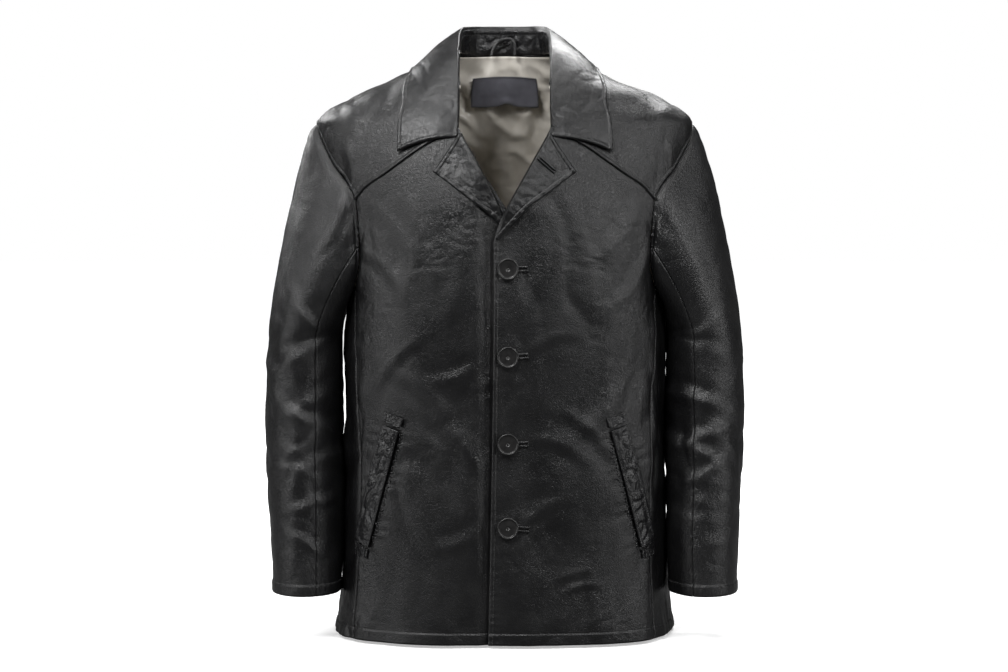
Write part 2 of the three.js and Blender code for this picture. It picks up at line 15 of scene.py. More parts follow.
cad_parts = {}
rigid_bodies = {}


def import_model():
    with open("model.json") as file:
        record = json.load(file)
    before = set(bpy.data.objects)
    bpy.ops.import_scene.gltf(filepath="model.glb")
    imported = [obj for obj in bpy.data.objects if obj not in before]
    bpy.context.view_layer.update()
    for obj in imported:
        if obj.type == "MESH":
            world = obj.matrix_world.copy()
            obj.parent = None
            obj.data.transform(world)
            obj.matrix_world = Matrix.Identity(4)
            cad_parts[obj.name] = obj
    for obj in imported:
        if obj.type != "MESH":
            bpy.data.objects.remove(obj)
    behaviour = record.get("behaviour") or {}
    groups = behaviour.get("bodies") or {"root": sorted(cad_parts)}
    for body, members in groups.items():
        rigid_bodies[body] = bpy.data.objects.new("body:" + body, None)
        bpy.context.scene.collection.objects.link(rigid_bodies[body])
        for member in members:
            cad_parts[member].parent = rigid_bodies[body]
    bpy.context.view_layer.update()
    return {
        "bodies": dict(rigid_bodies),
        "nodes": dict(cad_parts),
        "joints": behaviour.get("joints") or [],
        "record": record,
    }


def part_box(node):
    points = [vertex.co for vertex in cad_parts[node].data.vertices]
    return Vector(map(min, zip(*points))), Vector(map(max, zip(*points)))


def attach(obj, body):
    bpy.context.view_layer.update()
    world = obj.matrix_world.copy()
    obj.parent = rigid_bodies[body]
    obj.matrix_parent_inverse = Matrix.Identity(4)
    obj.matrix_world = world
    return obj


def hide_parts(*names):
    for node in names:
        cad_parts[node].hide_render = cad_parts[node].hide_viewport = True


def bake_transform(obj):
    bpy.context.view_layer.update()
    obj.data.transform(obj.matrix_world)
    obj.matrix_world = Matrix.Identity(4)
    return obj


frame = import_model()

# %% [markdown]
# ## Camera, floor and light
# The camera stands a few metres in front, a little above the middle of the coat, with a long
# lens, so that the sleeves and the hem aren't bent by perspective. A near camera with a short
# lens would show more of the neck, but it would swell the chest.

# %% Camera
MM = 0.001
HOLD = -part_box("side_panel_left")[0].z / MM  # the hold point's height above the hem
CAMERA_DISTANCE = 3.6
CAMERA_PITCH = 3.83  # degrees down from level

camera = bpy.data.objects.new("camera", bpy.data.cameras.new("camera"))
camera.data.lens = 98.9
camera.data.sensor_width = 36
camera.location = (-0.001, -CAMERA_DISTANCE, -0.07)
camera.rotation_euler = (math.radians(90 - CAMERA_PITCH), 0, 0)
bpy.context.collection.objects.link(camera)
bpy.context.scene.camera = camera
print("camera", CAMERA_DISTANCE, "m away, hold point", round(HOLD, 1), "mm above the hem")


# %% [markdown]
# ## Soft panels
# Black leather is seen only by what it reflects, so the light is a set of large soft panels:
# their reflections draw every fold. A small lamp would leave the coat black with one hot spot.
# Two panels stand in front, one above, one at each side for the sleeves' edges, and two behind.

# %% Soft panels
def soft_panel(name, place, aim, size, watts):
    light = bpy.data.lights.new(name, "AREA")
    light.shape = "RECTANGLE"
    light.size, light.size_y = size
    light.energy = watts
    lamp = bpy.data.objects.new(name, light)
    lamp.location = place
    lamp.rotation_euler = (Vector(aim) - Vector(place)).to_track_quat("-Z", "Y").to_euler()
    bpy.context.collection.objects.link(lamp)


soft_panel("key_panel", (-1.3, -2.1, 2.0), (0, 0, -0.2), (1.4, 0.9), 74)
soft_panel("fill_panel", (1.6, -2.4, 1.4), (0, 0, -0.3), (0.7, 1.0), 32)
soft_panel("top_panel", (0, -0.3, 2.3), (0, 0, 0), (2.0, 1.0), 30)
soft_panel("left_edge_panel", (-2.0, -0.7, 0.1), (0, 0, -0.3), (0.6, 2.0), 15)
soft_panel("right_edge_panel", (2.0, -0.7, 0.1), (0, 0, -0.3), (0.6, 2.0), 14)
soft_panel("rear_panel", (0.8, 2.0, 2.3), (0, 0, -0.3), (1.4, 1.0), 80)
soft_panel("rear_side_panel", (-1.9, 1.7, 1.3), (0, 0, -0.3), (0.8, 1.4), 50)

# %% [markdown]
# ## Floor
# The floor is one plain pale sheet a little under the hem. To the eye it fades into white, by a
# round gradient of glow, but in the leather's reflections it is dim, because a white floor
# would veil the black with grey. A Light Path node tells the two apart.

# %% Floor
FLOOR_SIZE = 12
FLOOR_DROP = 0.004  # below the hem, so that the two never share a plane

bm = bmesh.new()
bmesh.ops.create_grid(bm, x_segments=1, y_segments=1, size=FLOOR_SIZE)
bmesh.ops.translate(bm, verts=bm.verts, vec=(0, 0, -HOLD * MM - FLOOR_DROP))
floor_mesh = bpy.data.meshes.new("floor")
bm.to_mesh(floor_mesh)
bm.free()
floor = bpy.data.objects.new("floor", floor_mesh)
bpy.context.collection.objects.link(floor)

floor_paint = bpy.data.materials.new("pale_floor")
floor_paint.use_nodes = True
floor_mesh.materials.append(floor_paint)
paint = floor_paint.node_tree
floor_shader = paint.nodes["Principled BSDF"]
floor_shader.inputs["Roughness"].default_value = 0.9
floor_shader.inputs["Specular IOR Level"].default_value = 0.1
floor_shader.inputs["Emission Color"].default_value = (1, 1, 1, 1)
seen = paint.nodes.new("ShaderNodeLightPath")
tint = paint.nodes.new("ShaderNodeMix")  # pale to look at, but dim in the leather's reflections
tint.data_type = "RGBA"
tint.inputs["A"].default_value = (0.12, 0.12, 0.12, 1)
tint.inputs["B"].default_value = (0.93, 0.93, 0.93, 1)
paint.links.new(seen.outputs["Is Camera Ray"], tint.inputs["Factor"])
paint.links.new(tint.outputs["Result"], floor_shader.inputs["Base Color"])
spread = paint.nodes.new("ShaderNodeMapping")
spread.inputs["Scale"].default_value = (0.3, 0.3, 0)
far_off = paint.nodes.new("ShaderNodeTexGradient")
far_off.gradient_type = "SPHERICAL"
glow = paint.nodes.new("ShaderNodeMapRange")
for label, value in (("From Min", 0.88), ("From Max", 0.45), ("To Min", 0.42), ("To Max", 1.0)):
    glow.inputs[label].default_value = value
shown_glow = paint.nodes.new("ShaderNodeMath")
shown_glow.operation = "MULTIPLY"
paint.links.new(paint.nodes.new("ShaderNodeTexCoord").outputs["Object"], spread.inputs["Vector"])
paint.links.new(spread.outputs["Vector"], far_off.inputs["Vector"])
paint.links.new(far_off.outputs["Fac"], glow.inputs["Value"])
paint.links.new(glow.outputs["Result"], shown_glow.inputs[0])
paint.links.new(seen.outputs["Is Camera Ray"], shown_glow.inputs[1])
paint.links.new(shown_glow.outputs[0], floor_shader.inputs["Emission Strength"])

print("floor at", round(-HOLD * MM - FLOOR_DROP, 3), "m")

# %% [markdown]
# ## Sky
# The room is white to the eye and nearly dark to the leather, for the same reason as the floor.
# A picture of a studio could light the coat too, but the panels are easier to aim.

# %% Sky
SKY_SEEN, SKY_REFLECTED = 1.0, 0.07

world = bpy.data.worlds.new("studio")
world.use_nodes = True
sky = world.node_tree
sky.nodes["Background"].inputs["Color"].default_value = (1, 1, 1, 1)
seen = sky.nodes.new("ShaderNodeLightPath")
strength = sky.nodes.new("ShaderNodeMapRange")
strength.inputs["To Min"].default_value = SKY_REFLECTED
strength.inputs["To Max"].default_value = SKY_SEEN
sky.links.new(seen.outputs["Is Camera Ray"], strength.inputs["Value"])
sky.links.new(strength.outputs["Result"], sky.nodes["Background"].inputs["Strength"])
bpy.context.scene.world = world
bpy.context.scene.view_settings.view_transform = "Standard"
print("sky strength", SKY_SEEN, "to the eye and", SKY_REFLECTED, "in reflections")

# %% [markdown]
# ## The coat's form
# The body is a stack of rounded sections between the hem and the neck, and a point on it is an
# angle round the coat (0 at the middle of the front, 90 at the wearer's left) and a height.
# The sleeve is a stack of ovals that grows out of the armhole. These are the design's own
# driving sizes, in millimetres above the hem. A subdivided cage could be pushed into the same
# form by hand, but sections keep every seam exactly on the surface.

# %% Sections and the armhole
# height, half width, depth to the front, depth to the back, squareness
BODY = np.array([
    [0, 219, 161, 152, 2.9],
    [60, 212, 158, 149, 2.8],
    [150, 207, 154, 142, 2.65],
    [300, 204, 147, 130, 2.6],
    [430, 204, 143, 126, 2.5],
    [540, 216, 134, 126, 2.3],
    [610, 234, 117, 117, 2.15],
    [655, 242, 100, 106, 2.05],
    [687, 200, 84, 98, 2],
    [710, 148, 72, 91, 2],
    [727, 112, 62, 86, 2],
    [750, 62, 50, 80, 2],
])
# height, centre across, centre in depth, half width, half depth
SLEEVE = np.array([
    [55, 255.5, -60, 43.5, 60],
    [73, 255, -58, 44, 61],
    [140, 256, -48, 47, 64],
    [223, 258.5, -34, 49.5, 68],
    [293, 259.5, -22, 50.5, 72],
    [376, 258.5, -14, 48.5, 74],
    [400, 258, -12, 48, 74],
])
# share of the way from the shoulder point to the underarm, angle, height
ARMHOLE = np.array([
    [0, 90, 655],
    [0.2, 79.2, 605],
    [0.4, 68.6, 556],
    [0.65, 67.5, 490],
    [0.85, 72, 446],
    [1, 90, 430],
])
NECK_TOP = 745
SHOULDER = 655
SIDE_SEAM_TOP = 446
SLEEVE_BASE = 376
CUFF_END = 55
CAP_SHARE = 0.45  # share of the sleeve's length that the cap takes
YOKE_CORNER = 0.4
SIDE_CORNER = 0.85
BACK_YOKE_CORNER = 0.22
BACK_YOKE_SEAM = 600
FRONT_BREAK = 507
ROLL_TOP = 650
DIP = 7.2
FACING_WIDTH = 60
LINING_DEPTH = 11
BUTTON_X = 4
SLIT_END_X = 29
BUTTON_RADIUS = 13.4
print("sections", len(BODY), "body and", len(SLEEVE), "sleeve")


# %% [markdown]
# ## Curves
# A seam is drawn through a few points as a tailor's curve is. The sections need a curve that
# never swings past its points, or the coat would bulge between them, so `track` limits its
# slopes. Blender's own curve objects could draw the seams, but a function gives any point at
# any share of the way, which the panels need.

# %% Smooth curves
def track(rows, at):
    """A smooth curve through rows of position and values, without overshoot."""
    x, y = rows[:, 0], rows[:, 1:]
    at = np.clip(at, x[0], x[-1])
    slope = np.diff(y, axis=0) / np.diff(x)[:, None]
    product = slope[:-1] * slope[1:]
    total = slope[:-1] + slope[1:]
    middle = np.where(product > 0, 2 * product / np.where(total == 0, 1, total), 0)
    tangent = np.vstack([slope[:1], middle, slope[-1:]])
    k = np.clip(np.searchsorted(x, at, side="left") - 1, 0, len(x) - 2)
    width = (x[k + 1] - x[k])[..., None]
    t = (at - x[k])[..., None] / width
    start = (1 + 2 * t) * (1 - t) ** 2 * y[k] + t * (1 - t) ** 2 * width * tangent[k]
    end = t * t * (3 - 2 * t) * y[k + 1] + t * t * (t - 1) * width * tangent[k + 1]
    return start + end


def through(points):
    """A curve of 0 to 1 that runs through the points."""
    p = np.array(points, float)
    padded = np.vstack([p[:1], p, p[-1:]])

    def at(t):
        place = np.clip(t, 0, 1) * (len(p) - 1)
        k = np.minimum(place.astype(int), len(p) - 2)
        w = (place - k)[..., None]
        a, b, c, d = (padded[k + i] for i in range(4))
        return 0.5 * (2 * b + (c - a) * w + (2 * a - 5 * b + 4 * c - d) * w**2
                      + (3 * b - a - 3 * c + d) * w**3)

    return at


def straight(start, end):
    a, b = np.array(start, float), np.array(end, float)
    return lambda t: a + (b - a) * t[..., None]


def joined(curves, ends):
    """Curves end to end; each ends at its share of the whole."""
    def at(t):
        out = np.zeros(t.shape + (2,))
        start = 0
        for k, curve in enumerate(curves):
            last = k == len(curves) - 1
            here = (t >= start) & (t <= ends[k] if last else t < ends[k])
            here = here | (t > 1 if last else False) | (t < 0 if k == 0 else False)
            out[here] = curve((t[here] - start) / (ends[k] - start))
            start = ends[k]
        return out

    return at


def reversed_curve(curve):
    return lambda t: curve(1 - t)


def behind(curve):
    """The same seam on the back, mirrored about the side of the body."""
    return lambda t: curve(t) * [-1, 1] + [180, 0]


def far_side(curve):
    """The same seam on the other half of the back."""
    return lambda t: curve(t) * [-1, 1] + [360, 0]


def ends(curve):
    return curve(np.array([0.0, 1.0]))


print("half way along a line", straight([0, 0], [10, 4])(np.array(0.5)))

# %% [markdown]
# ## Patches between seams
# A panel is the patch between four seams. Each inner point is a blend of the points across
# from it on the four edges, so neighbouring panels share their edge exactly.

# %% Patches
def patch(bottom, top, left, right):
    """A patch of (angle, height) filled between four edges."""
    corners = ends(bottom), ends(top)

    def at(u, v):
        a, b = u[..., None], v[..., None]
        across = bottom(u) * (1 - b) + top(u) * b + left(v) * (1 - a) + right(v) * a
        low = corners[0][0] * (1 - a) + corners[0][1] * a
        high = corners[1][0] * (1 - a) + corners[1][1] * a
        return across - low * (1 - b) - high * b

    return at


def smooth(x, a, b):
    """A soft step from 0 at a to 1 at b."""
    t = np.clip((x - a) / (b - a), 0, 1)
    return t * t * (3 - 2 * t)


print("a soft step, a quarter of the way", smooth(0.25, 0, 1))

# %% [markdown]
# ## Points on the body
# A point is found from its angle round the coat and its height. The sections are squared
# ovals, fuller than an ellipse, because a coat hangs flat in front and turns sharply at the
# sides. Seams seen from the front are easier to give as a distance across, so `front_angle`
# turns one into the other.

# %% Points on the body
def body_point(angle, z):
    a, front, back, n = np.moveaxis(track(BODY, z), -1, 0)
    s, c = np.sin(np.radians(angle)), np.cos(np.radians(angle))
    depth = np.where(c > 0, front, back)
    r = ((np.abs(s) / a) ** n + (np.abs(c) / depth) ** n) ** (-1 / n)
    return np.stack([r * s, -r * c, z], axis=-1)


def front_angle(x, z):
    a, front, _, n = np.moveaxis(track(BODY, np.float64(z)), -1, 0)
    y = front * (1 - min(abs(x) / a, 1) ** n) ** (1 / n)
    return math.degrees(math.atan2(x, y))


def on_front(points):
    return [[front_angle(x, z), z] for x, z in points]


def armhole(start, end):
    return lambda t: track(ARMHOLE, start + (end - start) * t)


print("underarm at", body_point(np.array([90.0]), np.array([430.0]))[0].round(1), "mm")

# %% [markdown]
# ## Seam lines
# These are the cuts that the front shows: the side seam, the slanted yoke seam, the neck and
# the front edge, which leans back above the break to make room for the lapel. Each is drawn
# once and used by every panel that meets there.

# %% Seam lines
side_seam = through([[60.5, 0], [64, 220], [72, SIDE_SEAM_TOP]])
yoke_corner = track(ARMHOLE, np.array([YOKE_CORNER]))[0]
yoke_seam = through(on_front([[58, 650], [83, 636], [111, 620], [150, 592], [176, 574]])
                    + [list(yoke_corner)])
neck_front = through(on_front([[58, 650], [60, 687], [61, 715]]) + [[90, NECK_TOP]])
ridge = straight([90, SHOULDER], [90, NECK_TOP])
EDGE_SHARE = 0.8  # share of a front panel's edge below the armhole or the break
front_edge = {
    1: joined([
        through(on_front([[-21, 0], [-17, 190], [-14, 400], [-14, FRONT_BREAK]])),
        through(on_front([[-14, FRONT_BREAK], [3, 549], [58, ROLL_TOP]])),
    ], [EDGE_SHARE, 1]),
    -1: joined([
        through(on_front([[-25, 0], [-25, 300], [-25, FRONT_BREAK]])),
        through(on_front([[-25, FRONT_BREAK], [1, 552], [58, ROLL_TOP]])),
    ], [EDGE_SHARE, 1]),
}
SIDES = {"left": 1, "right": -1}
print("yoke meets the armhole at angle", round(float(yoke_corner[0]), 1))

# %% [markdown]
# ## Creases
# Leather doesn't wrinkle like thin cloth: it bulges softly and breaks in a few sharp valleys.
# The absolute value of a smooth noise has exactly that look, round hills with narrow valleys.
# A cloth simulation could crease the panels too, but a worn coat's folds sit in known places,
# under the arm, at the elbow and round the pockets, so they are laid in one by one on top.


# %% Noise
def noise(p, seed=0):
    """Smooth gradient noise of points, from -1 to 1, the same each run."""
    cell = np.floor(p).astype(np.int64)
    f = p - cell
    w = f * f * f * (f * (f * 6 - 15) + 10)
    total = 0
    for corner in np.ndindex(2, 2, 2):
        c = (cell + corner).astype(np.uint64)
        h = c[..., 0] * np.uint64(374761393) + c[..., 1] * np.uint64(668265263)
        h = (h + c[..., 2] * np.uint64(2246822519) + np.uint64(seed * 3266489917)) & np.uint64(0xFFFFFFFF)
        h = ((h ^ (h >> np.uint64(15))) * np.uint64(2246822519)) & np.uint64(0xFFFFFFFF)
        h = ((h ^ (h >> np.uint64(13))) * np.uint64(3266489917)) & np.uint64(0xFFFFFFFF)
        turn = (h & np.uint64(0xFFFF)).astype(float) * (2 * math.pi / 0xFFFF)
        rise = (h >> np.uint64(16)).astype(float) * (2 / 0xFFFF) - 1
        flat = np.sqrt(np.maximum(1 - rise**2, 0))
        d = f - corner
        slope = d[..., 0] * flat * np.cos(turn) + d[..., 1] * flat * np.sin(turn) + d[..., 2] * rise
        mix = np.prod(np.where(np.array(corner) == 1, w, 1 - w), axis=-1)
        total = total + slope * mix
    return total * 1.6  # brings its usual range to about -1 to 1


def bulges(p, size, seed):
    """Round hills and narrow valleys of that size, from about -1 (valley) to 1."""
    bent = p / size + 0.35 * np.stack([noise(p / size * 0.7, seed + k) for k in (5, 6, 7)], axis=-1)
    return np.minimum(np.abs(noise(bent, seed)) * 3.2, 1.4) - 0.55


print("noise at a test point", round(float(noise(np.array([[0.3, 0.4, 0.5]]))[0]), 3))

# %% [markdown]
# ## Creases
# A crease in leather is a soft ridge with a valley along one side, bowed a little and fading at
# both ends. A noise alone would scatter them evenly, so each is placed where the coat pulls.

# %% Creases
def crease(p, start, end, width, height):
    """A soft ridge along a line in the front view, fading at its two ends."""
    a, b = np.array(start, float), np.array(end, float)
    q = p[..., [0, 2]] - a
    along = (q @ (b - a)) / ((b - a) @ (b - a))
    bow = 0.10 * np.linalg.norm(b - a) * np.sin(np.clip(along, 0, 1) * math.pi)
    normal = np.array([-(b - a)[1], (b - a)[0]]) / np.linalg.norm(b - a)
    away = q @ normal - bow
    fade = smooth(along, -0.1, 0.35) * (1 - smooth(along, 0.65, 1.1))
    ridge_line = 1 / (1 + (away / width) ** 2)
    valley = 0.6 / (1 + ((away + 2.2 * width) / width) ** 2)
    return height * fade * (ridge_line - valley)


test_crease = crease(np.array([[0.0, 0.0, 50.0]]), [0, 0], [0, 100], 6, 3.0)
print("a 3 mm crease at the middle of its line is", round(float(test_crease[0]), 2), "mm high")

# %% [markdown]
# ## The folds of the body
# The list holds the coat's own folds: the drag lines from the armhole to the chest, the breaks
# at the waist and the pull round the pockets and buttons. They could be sculpted by hand, but
# a list can be read, changed and repeated. Broad noise fills in between.

# %% The folds of the body
# start and end across and above the hem, as seen from the front, then width and height
FRONT_FOLDS = [
    ([-207, 640], [-196, 560], 6, 3.2), ([207, 640], [196, 560], 6, 3.2),
    ([-184, 500], [-120, 420], 7, 2.2), ([184, 505], [128, 415], 7, 2.2),
    ([-176, 560], [-110, 470], 9, 1.8), ([176, 560], [105, 480], 9, 1.8),
    ([-150, 350], [-60, 262], 8, 2.0), ([-120, 300], [-30, 215], 7, 1.8),
    ([-172, 300], [-96, 392], 6, 1.6), ([160, 345], [70, 250], 8, 1.9),
    ([60, 300], [150, 214], 7, 1.7), ([24, 262], [110, 225], 6, 1.5),
    ([24, 365], [96, 392], 6, 1.4), ([-30, 355], [-100, 330], 6, 1.5),
    ([22, 150], [84, 186], 6, 1.5), ([60, 78], [112, 92], 5, 1.6),
    ([72, 66], [124, 74], 4, 1.3), ([-26, 150], [-90, 120], 7, 1.5),
    ([-60, 540], [-74, 400], 9, 1.6), ([44, 540], [30, 420], 8, 1.2),
    ([86, 545], [96, 400], 10, 1.8), ([-118, 560], [-128, 430], 8, 1.3),
    ([120, 160], [96, 60], 9, 1.7), ([-110, 170], [-84, 52], 9, 1.7),
    ([-196, 190], [-176, 330], 7, 1.8), ([196, 190], [176, 330], 7, 1.8),
]
# the same on the back, seen from behind with the wearer's left at positive x
BACK_FOLDS = [
    ([-190, 520], [-120, 590], 9, 2.4), ([190, 520], [120, 590], 9, 2.4),
    ([-180, 450], [-90, 520], 9, 2.0), ([176, 460], [84, 530], 9, 2.0),
    ([-150, 330], [-40, 300], 10, 2.0), ([30, 315], [150, 350], 10, 2.0),
    ([-120, 380], [-10, 360], 8, 1.6), ([10, 372], [110, 400], 8, 1.6),
    ([-60, 250], [-80, 90], 11, 1.9), ([64, 260], [80, 80], 11, 1.9),
    ([0, 560], [4, 420], 10, 1.3), ([-150, 160], [-110, 40], 9, 1.7),
    ([140, 170], [116, 40], 9, 1.7), ([-60, 690], [60, 690], 6, 1.2),
]


def body_relief(p):
    """The height of the leather above the body's form, in millimetres."""
    stretch = np.array([1, 1, 0.55])
    h = 2.6 * noise(p / [110, 110, 170], 1) + 1.9 * noise(p / [40, 40, 110], 2)
    h += 1.5 * bulges(p * stretch, 52, 3) * (0.35 + 0.65 * smooth(noise(p / 140, 9), -0.2, 0.4))
    h += 0.45 * bulges(p, 19, 4) * smooth(noise(p / 90, 10), -0.1, 0.5)
    h += 0.07 * noise(p / 5.5, 8)
    front = smooth(-p[..., 1], 25, 80)
    back = smooth(p[..., 1], 25, 80)
    h += front * sum(crease(p, *fold) for fold in FRONT_FOLDS)
    h += back * sum(crease(p, *fold) for fold in BACK_FOLDS)
    side = smooth(np.abs(p[..., 0]), 165, 200)
    waist = smooth(p[..., 2], 40, 120) * (1 - smooth(p[..., 2], 380, 430))
    h += side * (1.1 * bulges(p * [1, 1, 0.4], 26, 11) + 3.2 * waist)
    flare = 1 - smooth(p[..., 2], 0, 150)
    h += flare * 2.0 * np.sin(np.arctan2(p[..., 0], -p[..., 1]) * 9 + 1.2 * noise(p / 120, 12))
    return h


print("folds", len(FRONT_FOLDS), "in front and", len(BACK_FOLDS), "behind")

# %% [markdown]
# ## Seams
# Two panels meet in a narrow groove. Beside a topstitched seam the allowances lie folded under
# one panel, so the leather is raised in a flat band that the stitches pull down, and the thread
# gathers the edge into tiny puckers.


# %% Seam profiles
BAND = 6.0  # a topstitch's distance from its seam or edge
HEM_BAND = 15.0  # the hem's and the cuff's stitch line


def seam_profile(kind, d, s, seed):
    """Height of the leather at distance d from a seam of that kind, at length s along it."""
    if kind is None:
        return 0 * d
    groove = -0.9 * np.exp(-((d / 1.1) ** 2))
    pucker = np.sin(s * 0.62 + 3 * np.sin(s * 0.043 + seed)) * np.sin(s * 0.11 + seed)
    if kind == "plain":
        return groove + 0.30 * pucker * np.exp(-d / 8)
    line = HEM_BAND if kind in ("hem", "cuff") else BAND
    raised = 1.0 * smooth(d, 0.2, 1.8) * (1 - smooth(d, line - 0.8, line + 2.2))
    pulled = -0.9 * np.exp(-(((d - line) / 1.0) ** 2))
    gather = (0.42 if kind == "lapped" else 0.34) * pucker * np.exp(-np.abs(d - line * 0.7) / 6)
    if kind == "lapped":
        return groove + raised + pulled + gather
    return raised + pulled + gather


def seam_relief(p, kinds, seed):
    """Adds the profiles of a panel's four edges: left, right, bottom and top."""
    across = np.linalg.norm(np.diff(p, axis=1), axis=-1)
    along = np.linalg.norm(np.diff(p, axis=0), axis=-1)
    from_left = np.pad(np.cumsum(across, axis=1), ((0, 0), (1, 0)))
    from_low = np.pad(np.cumsum(along, axis=0), ((1, 0), (0, 0)))
    distances = {
        "left": (from_left, from_low), "right": (from_left[:, -1:] - from_left, from_low),
        "bottom": (from_low, from_left), "top": (from_low[-1:] - from_low, from_left),
    }
    return sum(seam_profile(kind, *distances[side], seed + i)
               for i, (side, kind) in enumerate(kinds.items()))


print("topstitches", BAND, "mm from a seam and", HEM_BAND, "mm above the hem")

# %% [markdown]
# ## Laying a panel
# `create_grid` makes the flat cut. Its points are moved onto the form, and raised or sunk along
# the form's own normal. Extruding the whole sheet inwards gives it its thickness, and a small
# bevel rounds the cut edge so that it catches the light.


# %% Grids and normals
def ease(t, amount=0.6):
    """Crowds the grid's lines towards a panel's edges, where the seams need them."""
    return t - amount * np.sin(2 * math.pi * t) / (2 * math.pi)


def grid_of(name, nu, nv):
    """A flat grid mesh and the order of its points in rows from the bottom."""
    bm = bmesh.new()
    bmesh.ops.create_grid(bm, x_segments=nu, y_segments=nv, size=0.5)
    mesh = bpy.data.meshes.new(name)
    bm.to_mesh(mesh)
    bm.free()
    flat = np.zeros(len(mesh.vertices) * 3)
    mesh.vertices.foreach_get("co", flat)
    flat = flat.reshape(-1, 3)
    order = np.lexsort((np.round(flat[:, 0], 6), np.round(flat[:, 1], 6)))
    return mesh, order


def normals_of(p, outwards, ring=False):
    """Unit normals of a grid of points, on the same side as the given directions."""
    if ring:
        wrapped = np.concatenate([p[:, -2:-1], p, p[:, 1:2]], axis=1)
        du = (wrapped[:, 2:] - wrapped[:, :-2])
    else:
        du = np.gradient(p, axis=1)
    dv = np.gradient(p, axis=0)
    n = np.cross(du, dv)
    n /= np.maximum(np.linalg.norm(n, axis=-1, keepdims=True), 1e-9)
    return n * np.sign((n * outwards).sum())


def body_normal(p):
    """The body form's own outward normal, which stays sound where a grid is pinched."""
    angle, z = np.degrees(np.arctan2(p[..., 0], -p[..., 1])), p[..., 2]
    round_it = body_point(angle + 0.5, z) - body_point(angle - 0.5, z)
    up_it = body_point(angle, z + 1) - body_point(angle, z - 1)
    n = np.cross(round_it, up_it)
    n /= np.linalg.norm(n, axis=-1, keepdims=True)
    return n * np.sign((n * p * [1, 1, 0]).sum(axis=-1, keepdims=True))


def to_metres(p):
    return (p - [0, 0, HOLD]) * MM


print("the first tenth of a panel's grid lies within", round(float(ease(0.1)), 3), "of its edge")

# %% [markdown]
# ## Thickness
# Extruding the whole sheet along its own normals gives both faces and the wall between them in
# one step. A Solidify modifier does the same, but it throws points far out where a panel is
# pinched to a corner, so each point carries its own way inwards. Only the sharp cut edge is
# bevelled.

# %% Laying a sheet
def shown(mesh, material):
    """Smooths a mesh, gives it its finish and puts it into the scene."""
    mesh.polygons.foreach_set("use_smooth", [True] * len(mesh.polygons))
    mesh.materials.append(material)
    piece = bpy.data.objects.new(mesh.name, mesh)
    bpy.context.collection.objects.link(piece)
    return piece


def lay(name, nu, nv, form, relief, thickness, material, slot, away, ring=False, bevel=0.45, amount=0.6):
    """Makes one sheet: form(u, v) gives its place and relief(p, u, v) its height above it."""
    mesh, order = grid_of(name, nu, nv)
    u, v = np.meshgrid(ease(np.linspace(0, 1, nu + 1), 0 if ring else amount),
                       ease(np.linspace(0, 1, nv + 1), amount))
    base = form(u, v)
    n = away(base) if away is body_normal else normals_of(base, away(base), ring)
    p = base + n * np.asarray(relief(base, u, v))[..., None]
    if ring:
        p[:, -1] = p[:, 0]
    flat, inwards = np.zeros((2, len(order), 3))
    flat[order] = to_metres(p).reshape(-1, 3)
    inwards[order] = n.reshape(-1, 3) * -thickness * MM
    mesh.vertices.foreach_set("co", flat.ravel())
    mesh.attributes.new("inwards", "FLOAT_VECTOR", "POINT").data.foreach_set("vector", inwards.ravel())
    bm = bmesh.new()
    bm.from_mesh(mesh)
    if ring:
        bmesh.ops.remove_doubles(bm, verts=bm.verts, dist=1e-6)
    made = bmesh.ops.extrude_face_region(bm, geom=bm.faces[:], use_keep_orig=True)
    inwards = bm.verts.layers.float_vector["inwards"]
    for corner in made["geom"]:
        if isinstance(corner, bmesh.types.BMVert):
            corner.co += corner[inwards]
    bmesh.ops.recalc_face_normals(bm, faces=bm.faces)
    if bevel:
        sharp = [e for e in bm.edges if len(e.link_faces) == 2 and e.calc_face_angle(0) > 1.0]
        bmesh.ops.bevel(bm, geom=sharp, offset=bevel * MM, segments=2, profile=0.5,
                        affect="EDGES", material=-1)
    bm.to_mesh(mesh)
    bm.free()
    mesh.attributes.remove(mesh.attributes["inwards"])
    return shown(mesh, material), p, n


print("the hold point lies at", to_metres(np.array([0, 0, HOLD])), "m")

# %% [markdown]
# ## The cut of each sheet
# Leather is cut flat before it is sewn. `sheet_area` measures a grid's area in square metres.

# %% A sheet's area
def sheet_area(p):
    """The flat area of a grid of points, in square metres."""
    a, b = p[1:, 1:] - p[:-1, :-1], p[1:, :-1] - p[:-1, 1:]
    return np.linalg.norm(np.cross(a, b), axis=-1).sum() / 2 * MM * MM


def from_axis(p):
    return p * [1, 1, 0]


test_square = np.array([[[0, 0, 0], [100, 0, 0]], [[0, 0, 100], [100, 0, 100]]], float)
print("a 100 mm square measures", sheet_area(test_square), "m2")

# %% [markdown]
# ## Finishes
# The leather is nearly black. What makes it leather is its surface: pebbles of grain a
# millimetre across, fine cracks between them, and a gloss that comes and goes where hands have
# polished it. Grain is used by three materials, so it is one node group that puts out a height
# and a polish mask. Each material keeps its own shader.


# %% Node helpers
def new_group(name, inputs, outputs):
    tree = bpy.data.node_groups.new(name, "ShaderNodeTree")
    for label, kind, value in inputs:
        socket = tree.interface.new_socket(label, in_out="INPUT", socket_type=kind)
        socket.default_value = value
    for label, kind in outputs:
        tree.interface.new_socket(label, in_out="OUTPUT", socket_type=kind)
    return tree, tree.nodes.new("NodeGroupInput"), tree.nodes.new("NodeGroupOutput")


def math_node(tree, operation, a, b=None):
    node = tree.nodes.new("ShaderNodeMath")
    node.operation = operation
    for i, value in enumerate((a, b)):
        if value is None:
            continue
        if isinstance(value, (int, float)):
            node.inputs[i].default_value = value
        else:
            tree.links.new(value, node.inputs[i])
    return node.outputs[0]


